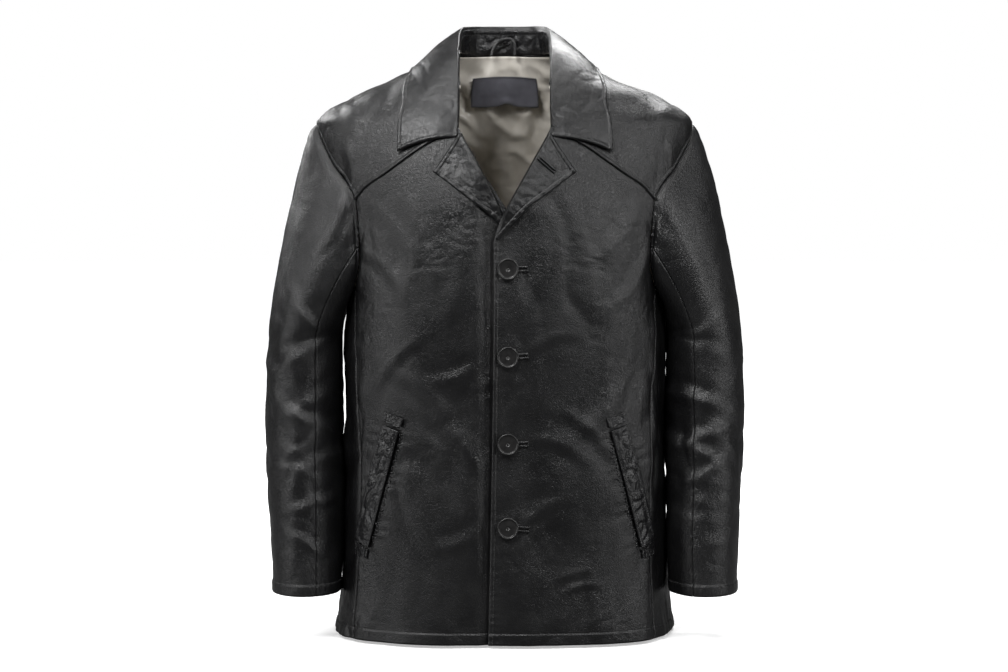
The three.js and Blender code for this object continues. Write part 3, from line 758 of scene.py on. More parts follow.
def noise_node(tree, vector, scale, detail=3.0, rough=0.55):
    node = tree.nodes.new("ShaderNodeTexNoise")
    node.inputs["Scale"].default_value = scale
    node.inputs["Detail"].default_value = detail
    node.inputs["Roughness"].default_value = rough
    tree.links.new(vector, node.inputs["Vector"])
    return node.outputs["Fac"]


print("a math node has", len(bpy.types.ShaderNodeMath.bl_rna.properties["operation"].enum_items), "modes")

# %% [markdown]
# ## Grain
# Two layers of cells make the pebbles and the wider cracks, bent by a noise so that no line is
# straight, and a soft noise lifts them unevenly. A scanned hide would be finer still, but
# cells need no picture and never repeat.

# %% Grain group
grain, grain_in, grain_out = new_group(
    "leather_grain",
    [("Vector", "NodeSocketVector", (0, 0, 0)), ("Pebble Size", "NodeSocketFloat", 620.0),
     ("Crinkle", "NodeSocketFloat", 0.3)],
    [("Height", "NodeSocketFloat"), ("Polish", "NodeSocketFloat"), ("Crack", "NodeSocketFloat")],
)
warp = grain.nodes.new("ShaderNodeTexNoise")
warp.inputs["Scale"].default_value = 260
warp_mix = grain.nodes.new("ShaderNodeVectorMath")
warp_mix.operation = "MULTIPLY_ADD"
warp_mix.inputs[1].default_value = (0.0012, 0.0012, 0.0012)
grain.links.new(grain_in.outputs["Vector"], warp.inputs["Vector"])
grain.links.new(warp.outputs["Color"], warp_mix.inputs[0])
grain.links.new(grain_in.outputs["Vector"], warp_mix.inputs[2])
cells = grain.nodes.new("ShaderNodeTexVoronoi")
cells.feature = "DISTANCE_TO_EDGE"
grain.links.new(warp_mix.outputs[0], cells.inputs["Vector"])
grain.links.new(grain_in.outputs["Pebble Size"], cells.inputs["Scale"])
steep = math_node(grain, "MULTIPLY", cells.outputs["Distance"], 3.2)
pebble = math_node(grain, "MINIMUM", steep, 1.0)
wide_cells = grain.nodes.new("ShaderNodeTexVoronoi")
wide_cells.feature = "DISTANCE_TO_EDGE"
wide_cells.inputs["Scale"].default_value = 170
grain.links.new(warp_mix.outputs[0], wide_cells.inputs["Vector"])
steep = math_node(grain, "MULTIPLY", wide_cells.outputs["Distance"], 5.0)
wrinkle = math_node(grain, "MINIMUM", steep, 1.0)
soft = noise_node(grain, grain_in.outputs["Vector"], 75, 4)
crinkled = math_node(grain, "MULTIPLY", wrinkle, grain_in.outputs["Crinkle"])
height = math_node(grain, "ADD", math_node(grain, "MULTIPLY", pebble, 0.34), crinkled)
height = math_node(grain, "ADD", height, math_node(grain, "MULTIPLY", soft, 0.75))
polish = noise_node(grain, grain_in.outputs["Vector"], 17, 5, 0.6)
grain.links.new(height, grain_out.inputs["Height"])
grain.links.new(polish, grain_out.inputs["Polish"])
grain.links.new(pebble, grain_out.inputs["Crack"])
print("grain group nodes", len(grain.nodes))


# %% [markdown]
# ## Leather
# One maker gives three finishes: smooth shell leather, a finer one for the collar and a
# crinkled one for the welts. Colour and roughness follow the polish mask, so worn places are
# glossier, and the grain's height feeds a Bump node. The colour is also darkened along the
# grain's crack lines, where the bump sinks: that is painted shade. Displacing the mesh would
# show the same pebbles at a hundred times the faces.

# %% Leather materials
def ramp(tree, value, stops):
    node = tree.nodes.new("ShaderNodeValToRGB")
    for i, (place, colour) in enumerate(stops):
        element = node.color_ramp.elements[i] if i < 2 else node.color_ramp.elements.new(place)
        element.position = place
        element.color = (*colour, 1)
    tree.links.new(value, node.inputs["Fac"])
    return node.outputs["Color"]


def fresh(name):
    material = bpy.data.materials.new(name)
    material.use_nodes = True
    tree = material.node_tree
    shader = tree.nodes["Principled BSDF"]
    coordinates = tree.nodes.new("ShaderNodeTexCoord")
    return material, tree, shader, coordinates


def leather(name, dark, light, rough, pebble_size, crinkle, bump):
    """Black leather; rough is the pair of roughness values between polished and dull."""
    material, tree, shader, coordinates = fresh(name)
    group = tree.nodes.new("ShaderNodeGroup")
    group.node_tree = grain
    group.inputs["Pebble Size"].default_value = pebble_size
    group.inputs["Crinkle"].default_value = crinkle
    tree.links.new(coordinates.outputs["Object"], group.inputs["Vector"])
    colour = ramp(tree, group.outputs["Polish"], [(0.3, dark), (0.72, light)])
    mix = tree.nodes.new("ShaderNodeMix")
    mix.data_type = "RGBA"
    mix.blend_type = "MULTIPLY"
    mix.inputs["Factor"].default_value = 0.35
    tree.links.new(colour, mix.inputs["A"])
    # painted shade: the grain's crack lines darken the base colour by about a quarter
    crack_shade = ramp(tree, group.outputs["Crack"], [(0.0, (0.25,) * 3), (0.5, (1, 1, 1))])
    tree.links.new(crack_shade, mix.inputs["B"])
    tree.links.new(mix.outputs["Result"], shader.inputs["Base Color"])
    gloss = tree.nodes.new("ShaderNodeMapRange")
    gloss.inputs["From Min"].default_value = 0.32
    gloss.inputs["From Max"].default_value = 0.7
    gloss.inputs["To Min"].default_value = rough[0]
    gloss.inputs["To Max"].default_value = rough[1]
    tree.links.new(group.outputs["Polish"], gloss.inputs["Value"])
    tree.links.new(gloss.outputs["Result"], shader.inputs["Roughness"])
    surface = tree.nodes.new("ShaderNodeBump")
    surface.inputs["Strength"].default_value = bump
    surface.inputs["Distance"].default_value = 0.0009
    tree.links.new(group.outputs["Height"], surface.inputs["Height"])
    tree.links.new(surface.outputs["Normal"], shader.inputs["Normal"])
    shader.inputs["Specular IOR Level"].default_value = 0.5
    return material


BLACK = (0.004, 0.004, 0.0045), (0.009, 0.009, 0.0095)
WORN_BLACK = (0.006, 0.006, 0.0065), (0.014, 0.014, 0.015)
SHELL = leather("black_leather", *BLACK, (0.28, 0.43), 560, 0.18, 0.5)
COLLAR = leather("collar_leather", *BLACK, (0.28, 0.41), 600, 0.14, 0.34)
WELT = leather("crinkled_leather", *WORN_BLACK, (0.22, 0.34), 460, 0.4, 0.5)
print("leathers", SHELL.name, COLLAR.name, WELT.name)


# %% [markdown]
# ## Satin
# Satin is smooth threads that float over the weave, so it has a soft gloss and a little sheen.
# A noise stretched along the threads gives their fine lines.

# %% Satin
def satin_material():
    material, tree, shader, coordinates = fresh("grey_satin")
    tone = noise_node(tree, coordinates.outputs["Object"], 22, 4)
    colour = ramp(tree, tone, [(0.35, (0.56, 0.525, 0.465)), (0.68, (0.74, 0.70, 0.63))])
    tree.links.new(colour, shader.inputs["Base Color"])
    stretch = tree.nodes.new("ShaderNodeMapping")
    stretch.inputs["Scale"].default_value = (1, 1, 0.06)
    tree.links.new(coordinates.outputs["Object"], stretch.inputs["Vector"])
    threads = noise_node(tree, stretch.outputs["Vector"], 3200, 2)
    surface = tree.nodes.new("ShaderNodeBump")
    surface.inputs["Strength"].default_value = 0.12
    surface.inputs["Distance"].default_value = 0.0002
    tree.links.new(threads, surface.inputs["Height"])
    tree.links.new(surface.outputs["Normal"], shader.inputs["Normal"])
    shader.inputs["Roughness"].default_value = 0.36
    shader.inputs["Sheen Weight"].default_value = 0.35
    shader.inputs["Sheen Roughness"].default_value = 0.35
    shader.inputs["Specular IOR Level"].default_value = 0.55
    return material


SATIN = satin_material()
print("satin nodes", len(SATIN.node_tree.nodes))

# %% [markdown]
# ## Cloth, thread and horn
# The label, pads, pocket bags and thread are plain woven or spun cloth: two crossed waves are
# enough at their size. The buttons are horn, dark and polished, with faint streaks under a
# thin coat of gloss.

# %% Cloth, thread and horn
def cloth_material(name, dark, light, pitch, rough=0.85):
    """A plain weave from two crossed waves."""
    material, tree, shader, coordinates = fresh(name)
    heights = []
    for direction in ("X", "Z"):
        wave = tree.nodes.new("ShaderNodeTexWave")
        wave.bands_direction = direction
        wave.inputs["Scale"].default_value = pitch
        wave.inputs["Distortion"].default_value = 0.6
        tree.links.new(coordinates.outputs["Object"], wave.inputs["Vector"])
        heights.append(wave.outputs["Fac"])
    weave = math_node(tree, "MULTIPLY", *heights)
    tone = math_node(tree, "ADD", math_node(tree, "MULTIPLY", weave, 0.5),
                     math_node(tree, "MULTIPLY", noise_node(tree, coordinates.outputs["Object"], 60), 0.6))
    tree.links.new(ramp(tree, tone, [(0.2, dark), (0.75, light)]), shader.inputs["Base Color"])
    surface = tree.nodes.new("ShaderNodeBump")
    surface.inputs["Strength"].default_value = 0.5
    surface.inputs["Distance"].default_value = 0.0003
    tree.links.new(weave, surface.inputs["Height"])
    tree.links.new(surface.outputs["Normal"], shader.inputs["Normal"])
    shader.inputs["Roughness"].default_value = rough
    shader.inputs["Sheen Weight"].default_value = 0.2
    return material


def horn_material():
    material, tree, shader, coordinates = fresh("black_horn")
    streak = noise_node(tree, coordinates.outputs["Object"], 140, 4)
    tree.links.new(ramp(tree, streak, [(0.3, (0.006, 0.006, 0.006)), (0.8, (0.022, 0.021, 0.021))]),
                   shader.inputs["Base Color"])
    gloss = tree.nodes.new("ShaderNodeMapRange")
    gloss.inputs["To Min"].default_value = 0.24
    gloss.inputs["To Max"].default_value = 0.40
    tree.links.new(noise_node(tree, coordinates.outputs["Object"], 420, 3), gloss.inputs["Value"])
    tree.links.new(gloss.outputs["Result"], shader.inputs["Roughness"])
    shader.inputs["Coat Weight"].default_value = 0.3
    shader.inputs["Coat Roughness"].default_value = 0.12
    return material


LABEL = cloth_material("label_weave", (0.10, 0.10, 0.12), (0.20, 0.20, 0.235), 900)
WADDING = cloth_material("wadding_felt", (0.40, 0.38, 0.34), (0.55, 0.53, 0.49), 500)
POCKET = cloth_material("pocket_twill", (0.016, 0.016, 0.016), (0.035, 0.034, 0.033), 800)
THREAD = cloth_material("black_thread", (0.008, 0.008, 0.008), (0.030, 0.030, 0.031), 2200, 0.55)
HORN = horn_material()
print("materials made:", len(bpy.data.materials))

# %% [markdown]
# ## Stitches
# A stitch is a short fat thread that dips into the leather at both ends. A stretched little
# sphere of a few dozen faces is enough, and one loop sets them along any seam. A dashed
# texture would be cheaper but would slide and blur close up.

# %% Stitch maker
STITCH_LENGTH = 2.7
STITCH_PITCH = 3.7
STITCH_RADIUS = 0.36
STITCH_BATCH = 24  # a growing bmesh slows down, so the stitches are made a few at a time


def resample(path, normal, pitch):
    length = np.concatenate([[0], np.cumsum(np.linalg.norm(np.diff(path, axis=0), axis=1))])
    at = np.arange(pitch / 2, length[-1], pitch)
    place = np.stack([np.interp(at, length, path[:, k]) for k in range(3)], axis=1)
    ahead = np.stack([np.interp(at + 0.8, length, path[:, k]) for k in range(3)], axis=1)
    up = np.stack([np.interp(at, length, normal[:, k]) for k in range(3)], axis=1)
    return place, ahead - place, up


def stitch_piece(name, runs, material=THREAD, length=STITCH_LENGTH,
                 pitch=STITCH_PITCH, radius=STITCH_RADIUS, slant=0.0):
    """Sews every run, a pair of a path and its normals, into one piece, a few stitches at a time."""
    stitches = [stitch for path, normal in runs for stitch in zip(*resample(path, normal, pitch))]
    bm, batch = bmesh.new(), bpy.data.meshes.new("batch")
    for first in range(0, len(stitches), STITCH_BATCH):
        few = bmesh.new()
        for place, along, up in stitches[first:first + STITCH_BATCH]:
            if np.linalg.norm(along) < 0.2:
                continue
            out = Vector(up).normalized()
            forward = (Matrix.Rotation(slant, 3, out) @ Vector(along)).normalized()
            across = out.cross(forward).normalized()
            out = forward.cross(across)
            turn = Matrix((forward, across, out)).transposed().to_4x4()
            size = Matrix.Diagonal((length / 2 * MM, radius * MM, radius * MM, 1))
            move = Matrix.Translation(to_metres(place + up * radius * 0.35))
            bmesh.ops.create_uvsphere(few, u_segments=6, v_segments=5, radius=1,
                                      matrix=move @ turn @ size @ Matrix.Rotation(math.pi / 2, 4, "Y"))
        few.to_mesh(batch)
        few.free()
        bm.from_mesh(batch)
    bpy.data.meshes.remove(batch)
    mesh = bpy.data.meshes.new(name)
    bm.to_mesh(mesh)
    bm.free()
    print(name, "faces", len(mesh.polygons))
    return shown(mesh, material)


def surface_near(p, n, x, z):
    """The laid surface's point and normal nearest to a place in the front view."""
    k = np.argmin((p[..., 0] - x) ** 2 + (p[..., 2] - z) ** 2)
    return p.reshape(-1, 3)[k], n.reshape(-1, 3)[k]


def line_beside(p, n, edge, distance, trim=(0, 1)):
    """The path at a distance in from one edge of a laid grid."""
    if edge in ("left", "right"):
        rows, normals = p, n
    else:
        rows, normals = p.transpose(1, 0, 2), n.transpose(1, 0, 2)
    if edge in ("right", "top"):
        rows, normals = rows[:, ::-1], normals[:, ::-1]
    step = np.linalg.norm(np.diff(rows, axis=1), axis=-1)
    reach = np.pad(np.cumsum(step, axis=1), ((0, 0), (1, 0)))
    k = (reach < distance).sum(axis=1).clip(1, rows.shape[1] - 1)
    i = np.arange(len(rows))
    step_here = np.maximum(reach[i, k] - reach[i, k - 1], 1e-6)
    w = ((distance - reach[i, k - 1]) / step_here).clip(0, 1)[:, None]
    path = rows[i, k - 1] * (1 - w) + rows[i, k] * w
    start, end = int(trim[0] * len(path)), int(trim[1] * len(path))
    return path[start:end], normals[i, k][start:end]


print("stitches", STITCH_LENGTH, "mm long, one every", STITCH_PITCH, "mm")

# %% [markdown]
# ## Body panels
# Each panel's four edges are the tailor's seam lines. The wearer's left front laps over the
# right, so the right front steps back under it.


# %% Body panel maker
LEATHER_THICKNESS = 1.5
SATIN_THICKNESS = 0.4


def body_form(plan, side, lift=None):
    def form(u, v):
        outline = plan(u, v)
        p = body_point(outline[..., 0], outline[..., 1])
        if lift is not None:
            shift = lift(u, v, p)
            inward = from_axis(p) / np.maximum(np.linalg.norm(from_axis(p), axis=-1, keepdims=True), 1)
            p = p + inward * shift[..., None]
        return p * [side, 1, 1]

    return form


def underlap(u, v, p):
    return -DIP * (1 - smooth(p[..., 0], 16, 38)) * (1 - smooth(p[..., 2], 555, 610))


def body_panel(name, node, plan, side, grid, kinds, seed, lift=None, extra=None, material=SHELL):
    def relief(p, u, v):
        h = body_relief(p) + seam_relief(p, kinds, seed)
        return h + (extra(p, u, v) if extra else 0)

    piece, p, n = lay(name, *grid, body_form(plan, side, lift), relief, LEATHER_THICKNESS,
                      material, "shell_leather", body_normal)
    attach(piece, "coat_body")
    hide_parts(node)
    return p, n


body_stitches = []
print("leather", LEATHER_THICKNESS, "mm with its backing")

# %% [markdown]
# ## The two fronts
# A front runs from the side seam to the edge, which ends in a rolled, topstitched fold. The
# pocket gathers the leather round its mouth and sinks it under the welt. That pull could be
# painted as bump, but the light has to break on it, so it is in the mesh.

# %% The two fronts
POCKET_TOP, POCKET_LOW = np.array([143.0, 270.0]), np.array([181.0, 122.0])


def pocket_pull(p, u, v):
    """The leather puckers on both sides of the pocket's mouth."""
    q = np.stack([np.abs(p[..., 0]), p[..., 2]], axis=-1) - POCKET_TOP
    line = POCKET_LOW - POCKET_TOP
    along = (q @ line) / (line @ line)
    away = q @ np.array([-line[1], line[0]]) / np.linalg.norm(line)
    inside = smooth(along, -0.12, 0.05) * (1 - smooth(along, 0.95, 1.12))
    ripple = np.sin(along * 50 + 2.2 * np.sin(along * 17 + p[..., 0] * 0.05))
    near = np.exp(-(((np.abs(away) - 20) / 8) ** 2))
    sunk = -1.4 * inside * (1 - smooth(np.abs(away), 11, 14))
    return inside * near * 0.5 * ripple + sunk


fronts = {}
for name, side in SIDES.items():
    right = joined([side_seam, armhole(SIDE_CORNER, YOKE_CORNER)], [EDGE_SHARE, 1])
    left = front_edge[side]
    plan = patch(straight(ends(left)[0], ends(right)[0]), yoke_seam, left, right)
    kinds = {"left": "edge" if side > 0 else "plain", "right": "plain", "bottom": "hem", "top": "plain"}
    p, n = body_panel(f"leather_front_{name}", f"front_{name}", plan, side, (96, 250), kinds, side + 3,
                      underlap if side < 0 else None, pocket_pull)
    fronts[name] = (p, n)
    if side > 0:
        body_stitches.append(line_beside(p, n, "left", BAND, (0.01, 0.78)))
    body_stitches.append(line_beside(p, n, "bottom", HEM_BAND, (0.02, 1)))

# %% [markdown]
# ## The front yokes
# The yoke carries the weight on the shoulder. Its lower edge laps over the front in a slanted
# seam, with a row of stitches beside it and another down the armhole.

# %% The front yokes
for name, side in SIDES.items():
    plan = patch(yoke_seam, reversed_curve(ridge), neck_front, armhole(YOKE_CORNER, 0))
    kinds = {"left": None, "right": "lapped", "bottom": "lapped", "top": "plain"}
    p, n = body_panel(f"leather_front_yoke_{name}", f"front_yoke_{name}", plan, side, (90, 76),
                      kinds, side + 9)
    body_stitches.append(line_beside(p, n, "bottom", BAND, (0.3, 0.97)))
    body_stitches.append(line_beside(p, n, "right", BAND, (0.03, 0.97)))

# %% [markdown]
# ## The side panels
# A narrow panel under the arm joins front to back. One wide wrap-round panel would do for a
# loose coat, but two seams let the side follow the body.

# %% The side panels
for name, side in SIDES.items():
    top = joined([armhole(SIDE_CORNER, 1), behind(armhole(1, SIDE_CORNER))], [0.5, 1])
    back_seam = behind(side_seam)
    plan = patch(straight(ends(side_seam)[0], ends(back_seam)[0]), top, side_seam, back_seam)
    kinds = {"left": "plain", "right": "plain", "bottom": "hem", "top": "plain"}
    p, n = body_panel(f"leather_side_{name}", f"side_panel_{name}", plan, side, (86, 150), kinds, side + 14)
    body_stitches.append(line_beside(p, n, "bottom", HEM_BAND, (0.02, 0.98)))

# %% [markdown]
# ## The back and its yoke
# The back is one piece, with a yoke across the shoulders, sewn like the front ones. Half of it
# is drawn and the other half is its mirror, so both sides meet the armholes alike. The folds on
# it differ left and right, as on a worn coat.

# %% The back and its yoke
near = behind(joined([side_seam, armhole(SIDE_CORNER, BACK_YOKE_CORNER)], [0.75, 1]))
far = far_side(near)
yoke_line = through([ends(near)[1], [180, BACK_YOKE_SEAM + 4], ends(far)[1]])
plan = patch(straight(ends(near)[0], ends(far)[0]), yoke_line, near, far)
kinds = {"left": "lapped", "right": "lapped", "bottom": "hem", "top": "plain"}
p, n = body_panel("leather_back", "back_panel", plan, 1, (150, 190), kinds, 21)
body_stitches.append(line_beside(p, n, "bottom", HEM_BAND, (0.02, 0.98)))
body_stitches.append(line_beside(p, n, "left", BAND, (0.03, 0.99)))
body_stitches.append(line_beside(p, n, "right", BAND, (0.03, 0.99)))

arm_near = behind(armhole(BACK_YOKE_CORNER, 0))
arm_far = far_side(arm_near)
far_ridge = straight([270, NECK_TOP], [270, SHOULDER])
neck_back = straight([90, NECK_TOP], [270, NECK_TOP])
top = joined([ridge, neck_back, far_ridge], [0.3, 0.7, 1])
plan = patch(yoke_line, top, arm_near, arm_far)
kinds = {"left": "lapped", "right": "lapped", "bottom": "lapped", "top": None}
p, n = body_panel("leather_back_yoke", "back_yoke", plan, 1, (190, 66), kinds, 25)
body_stitches.append(line_beside(p, n, "bottom", BAND, (0.02, 0.98)))
body_stitches.append(line_beside(p, n, "left", BAND, (0.05, 0.95)))
body_stitches.append(line_beside(p, n, "right", BAND, (0.05, 0.95)))

# %% [markdown]
# ## Sleeves
# A two-piece sleeve grows from the armhole: the first part is a curve from each point of the
# armhole to the upper arm, and the rest is a slightly bent tube. Real sleeves break at the
# elbow, so short creases run round the inside of the bend there.


# %% The sleeve's form
def armhole_point(u):
    half = u <= 0.5
    angle, z = np.moveaxis(track(ARMHOLE, np.where(half, 2 * u, 2 * (1 - u))), -1, 0)
    return body_point(np.where(half, angle, 180 - angle), z)


def sleeve_ring(u, z):
    cx, cy, rx, ry = np.moveaxis(track(SLEEVE, z), -1, 0)
    turn = 2 * math.pi * u
    return np.stack([cx + rx * np.cos(turn), cy - ry * np.sin(turn), z], axis=-1)


SLEEVE_GAP = 2.5  # the sleeve's head stands this far out from the armhole's seam


def sleeve_form(side):
    def form(around, v):
        u = around % 1
        down = (CUFF_END - SLEEVE_BASE) * (v - CAP_SHARE).clip(0) / (1 - CAP_SHARE)
        tube = sleeve_ring(u, SLEEVE_BASE + down)
        top, front = np.cos(2 * math.pi * u), np.sin(2 * math.pi * u)
        start = armhole_point(u)
        start[..., 0] += SLEEVE_GAP * smooth(v, 0, 0.012) - 1.2
        end = sleeve_ring(u, np.full_like(u, SLEEVE_BASE))
        leave = np.stack([13 + 9 * top + 4 * np.abs(front), -14 * front, -21 - 6 * top], axis=-1)
        arrive = np.stack([-2 - 2 * top, 0 * top, 47 + 27 * top], axis=-1)
        t = (v / CAP_SHARE).clip(0, 1)[..., None]
        cap = ((1 - t) ** 3 * start + 3 * t * (1 - t) ** 2 * (start + leave)
               + 3 * t * t * (1 - t) * (end + arrive) + t**3 * end)
        return np.where((v > CAP_SHARE)[..., None], tube, cap) * [side, 1, 1]

    return form


def sleeve_away(side):
    return lambda p: p - [side * 240, -20, 0] * np.array([1, 1, 1]) - p * [0, 0, 1]


print("sleeve sections", len(SLEEVE))

# %% [markdown]
# ## The sleeve's creases
# Arms bend at the elbow, so the creases run part of the way round there, and a few more cross
# the upper and lower arm. The same list serves both sleeves, and each sleeve's own seed moves,
# turns and flattens every crease, because a mirrored pair is the first thing an eye catches.

# %% The sleeve's creases
# share round the sleeve, share down it, slope, half length round, width and height
ELBOW_CREASES = [
    (0.33, 0.575, -0.30, 0.22, 8.0, 4.4), (0.29, 0.640, 0.34, 0.19, 7.0, 3.6),
    (0.36, 0.690, -0.22, 0.22, 7.5, 3.6), (0.25, 0.735, 0.42, 0.16, 6.5, 2.8),
    (0.17, 0.600, 0.55, 0.14, 9.0, 3.0), (0.15, 0.700, -0.60, 0.12, 8.0, 2.4),
    (0.31, 0.815, -0.34, 0.18, 7.0, 2.6), (0.22, 0.880, 0.40, 0.14, 7.0, 2.2),
    (0.27, 0.470, -0.45, 0.15, 9.0, 3.0), (0.22, 0.370, 0.60, 0.13, 10.0, 2.8),
    (0.06, 0.500, 0.70, 0.14, 11.0, 2.4), (0.78, 0.640, 0.35, 0.20, 8.0, 3.0),
    (0.72, 0.710, -0.30, 0.18, 7.0, 2.6), (0.82, 0.540, -0.45, 0.16, 9.0, 2.8),
    (0.70, 0.450, 0.50, 0.15, 9.0, 2.6), (0.88, 0.780, 0.50, 0.14, 9.0, 2.2),
]
SLEEVE_LENGTH = 590.0


def sleeve_relief(kinds, seed):
    def relief(p, u, v):
        h = 2.0 * noise(p / [70, 70, 150], seed) + 1.3 * noise(p / [32, 32, 100], seed + 1)
        elbow = np.exp(-(((v - 0.66) / 0.14) ** 2))
        h += (0.5 + 0.8 * elbow) * bulges(p * [0.8, 0.8, 1.0], 38, seed + 2)
        h += 0.2 * bulges(p, 16, seed + 3) * (0.3 + 0.7 * elbow) + 0.05 * noise(p / 5.5, 8)
        h += 1.4 * np.exp(-(((u - 0.5) / 0.09) ** 2)) * smooth(v, 0.52, 0.6) * (1 - smooth(v, 0.9, 0.97))
        for i, (u0, v0, slope, reach, width, height) in enumerate(ELBOW_CREASES):
            phase = i * 2.3 + seed
            v0, u0 = v0 + 0.016 * math.sin(phase), u0 + 0.035 * math.cos(phase)
            slope = slope + 0.22 * math.sin(1.7 * phase)
            height = height * (0.62 + 0.24 * math.sin(2.9 * phase))
            across = (v - v0 - slope * (u - u0) * 0.5 - 0.35 * (u - u0) ** 2) * SLEEVE_LENGTH
            across = across + 5 * noise(p / [26, 26, 60], seed + 9)
            fade = 1 - smooth(np.abs(u - u0), reach * 0.25, reach)
            ridge_line = 1 / (1 + (across / width) ** 2)
            valley = 0.7 / (1 + ((across + 2.1 * width) / width) ** 2)
            h += height * fade * (ridge_line - valley)
        head = smooth(v, 0.0, 0.05) * (1 - smooth(v, 0.05, 0.16))
        h += head * 1.3 * (1 + 0.35 * np.sin(u * 2 * math.pi * 13))
        h *= smooth(v, 0.0, 0.03)
        return h + seam_relief(p, kinds, seed)

    return relief


print("sleeve creases", len(ELBOW_CREASES))

# %% [markdown]
# ## Upper and under sleeves
# The sleeve is cut in two, and both parts are laid on one form, so their seams meet.


def sew_to_armhole(piece):
    """Bakes the piece's placement into its mesh."""
    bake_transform(piece)


SEAM_AT = 0.31
for name, side in SIDES.items():
    runs = []
    for part, (start, end), grid in (("top", (-SEAM_AT, SEAM_AT), (118, 200)),
                                     ("under", (SEAM_AT, 1 - SEAM_AT), (64, 190))):
        form = sleeve_form(side)

        def part_form(u, v, start=start, end=end, form=form):
            return form(start + (end - start) * u, v)

        kinds = {"left": "plain", "right": "plain", "bottom": "plain", "top": "cuff"}
        inner = sleeve_relief(kinds, 31 if side > 0 else 47)

        def part_relief(p, u, v, start=start, end=end, inner=inner):
            return inner(p, start + (end - start) * u, v)

        piece, p, n = lay(f"leather_sleeve_{part}_{name}", *grid, part_form, part_relief,
                          LEATHER_THICKNESS, SHELL,
                          "shell_leather", sleeve_away(side))
        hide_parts(f"sleeve_{part}_{name}")
        sew_to_armhole(piece)
        runs.append(line_beside(p, n, "top", HEM_BAND))
    sewing = stitch_piece(f"stitches_cuff_{name}", runs)
    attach(sewing, f"sleeve_{name}")

# %% [markdown]
# ## Cuff facings and sleeve linings
# The cuff is turned in with a band of leather, and above it the sleeve is lined with satin, a
# tube that hangs free. Both are closed rings, joined where the grid's two edges meet.

# %% Cuff facings and sleeve linings
for name, side in SIDES.items():
    form = sleeve_form(side)
    piece, p, n = lay(
        f"leather_cuff_facing_{name}", 72, 8, lambda u, v, form=form: form(u, 0.938 + 0.06 * v),
        lambda p, u, v: 0.3 * noise(p / 18, 61) - 3.6, 1.2, SHELL,
        "shell_leather", sleeve_away(side), ring=True)
    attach(piece, f"sleeve_{name}")
    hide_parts(f"cuff_facing_{name}")
    piece, p, n = lay(
        f"satin_sleeve_{name}", 90, 90, lambda u, v, form=form: form(u, 0.17 + 0.79 * v),
        lambda p, u, v: 1.1 * bulges(p * [1, 1, 0.5], 24, 62) * smooth(v, 0, 0.1) - 9,
        SATIN_THICKNESS, SATIN, "satin_lining", sleeve_away(side), ring=True, bevel=0)
    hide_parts(f"sleeve_lining_{name}")
    sew_to_armhole(piece)

# %% [markdown]
# ## Facings and linings
# Inside, the front edges and the hem are faced with leather, and the rest is satin, cut a
# little too big so that it never pulls: it hangs in soft upright folds.

# %% Facings
FACING_TOP = 694
for name, side in SIDES.items():
    inner = through([[front_angle(FACING_WIDTH, z), z] for z in (10, 250, 480, 600, FACING_TOP)])
    edge = front_edge[side]
    outer = joined([lambda t, edge=edge: edge(0.014 + t * 0.986),
                    through(on_front([[58, ROLL_TOP], [59, 675], [60, FACING_TOP]]))], [0.93, 1])
    plan = patch(straight(ends(outer)[0], ends(inner)[0]),
                 straight(ends(outer)[1], ends(inner)[1]), outer, inner)
    lift = underlap if side < 0 else None
    depth = 3.6 if side > 0 else 5.0

    def narrow(u, v, plan=plan):
        return plan(u, 0.004 + v * 0.85)

    piece, p, n = lay(f"leather_facing_{name}", 22, 150, body_form(narrow, side, lift),
                      lambda p, u, v, depth=depth: 0.3 * bulges(p, 20, 71) - depth, 1.3, SHELL,
                      "shell_leather", body_normal)
    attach(piece, "coat_body")
    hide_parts(f"facing_{name}")

start = front_angle(FACING_WIDTH + 4, 0)
plan = patch(straight([start, 2], [360 - start, 2]), straight([start, 38], [360 - start, 38]),
             straight([start, 2], [start, 38]), straight([360 - start, 2], [360 - start, 38]))
piece, p, n = lay("leather_hem_facing", 260, 8, body_form(plan, 1),
                  lambda p, u, v: 0.4 * bulges(p, 20, 72) - 3.8, 1.2, SHELL, "shell_leather", body_normal)
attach(piece, "coat_body")
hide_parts("hem_facing")


# %% [markdown]
# ## Satin linings
# Two fronts and one back of satin close the inside. Their folds slant away from the neck and
# hang upright below. A cloth simulation would drape them too, but it would also move the edge
# that is sewn to the facing, so the folds fade out there.

# %% Satin linings
LINING_HEM = 22
LINING_SHARE = 0.64
LINING_NECK = [86, 741]  # where the front lining meets the collar's seam
lining_seam = straight([90, LINING_HEM], [90, 430])


def lining_depth(z):
    """The lining lies close under the collar's seam and deeper below it."""
    return LINING_DEPTH - 7.5 * smooth(z, 715, 745)


def satin_relief(p, u, v):
    """Soft folds, upright below and slanting from the neck, and never deeper than its room."""
    slant = p + np.stack([0.45 * p[..., 2], 0 * u, 0 * u], axis=-1)
    h = 6.5 * bulges(slant * [1, 1, 0.34], 34, 81) + 2.2 * noise(p / [20, 20, 50], 82)
    h += 1.6 * bulges(p, 17, 83)
    near_edge = smooth(np.minimum(np.minimum(u, 1 - u), np.minimum(v, 1 - v)), 0, 0.03)
    calm = 1 - 0.8 * smooth(p[..., 2], 715, 745)
    return h.clip(-6, 6) * near_edge * calm - lining_depth(p[..., 2])


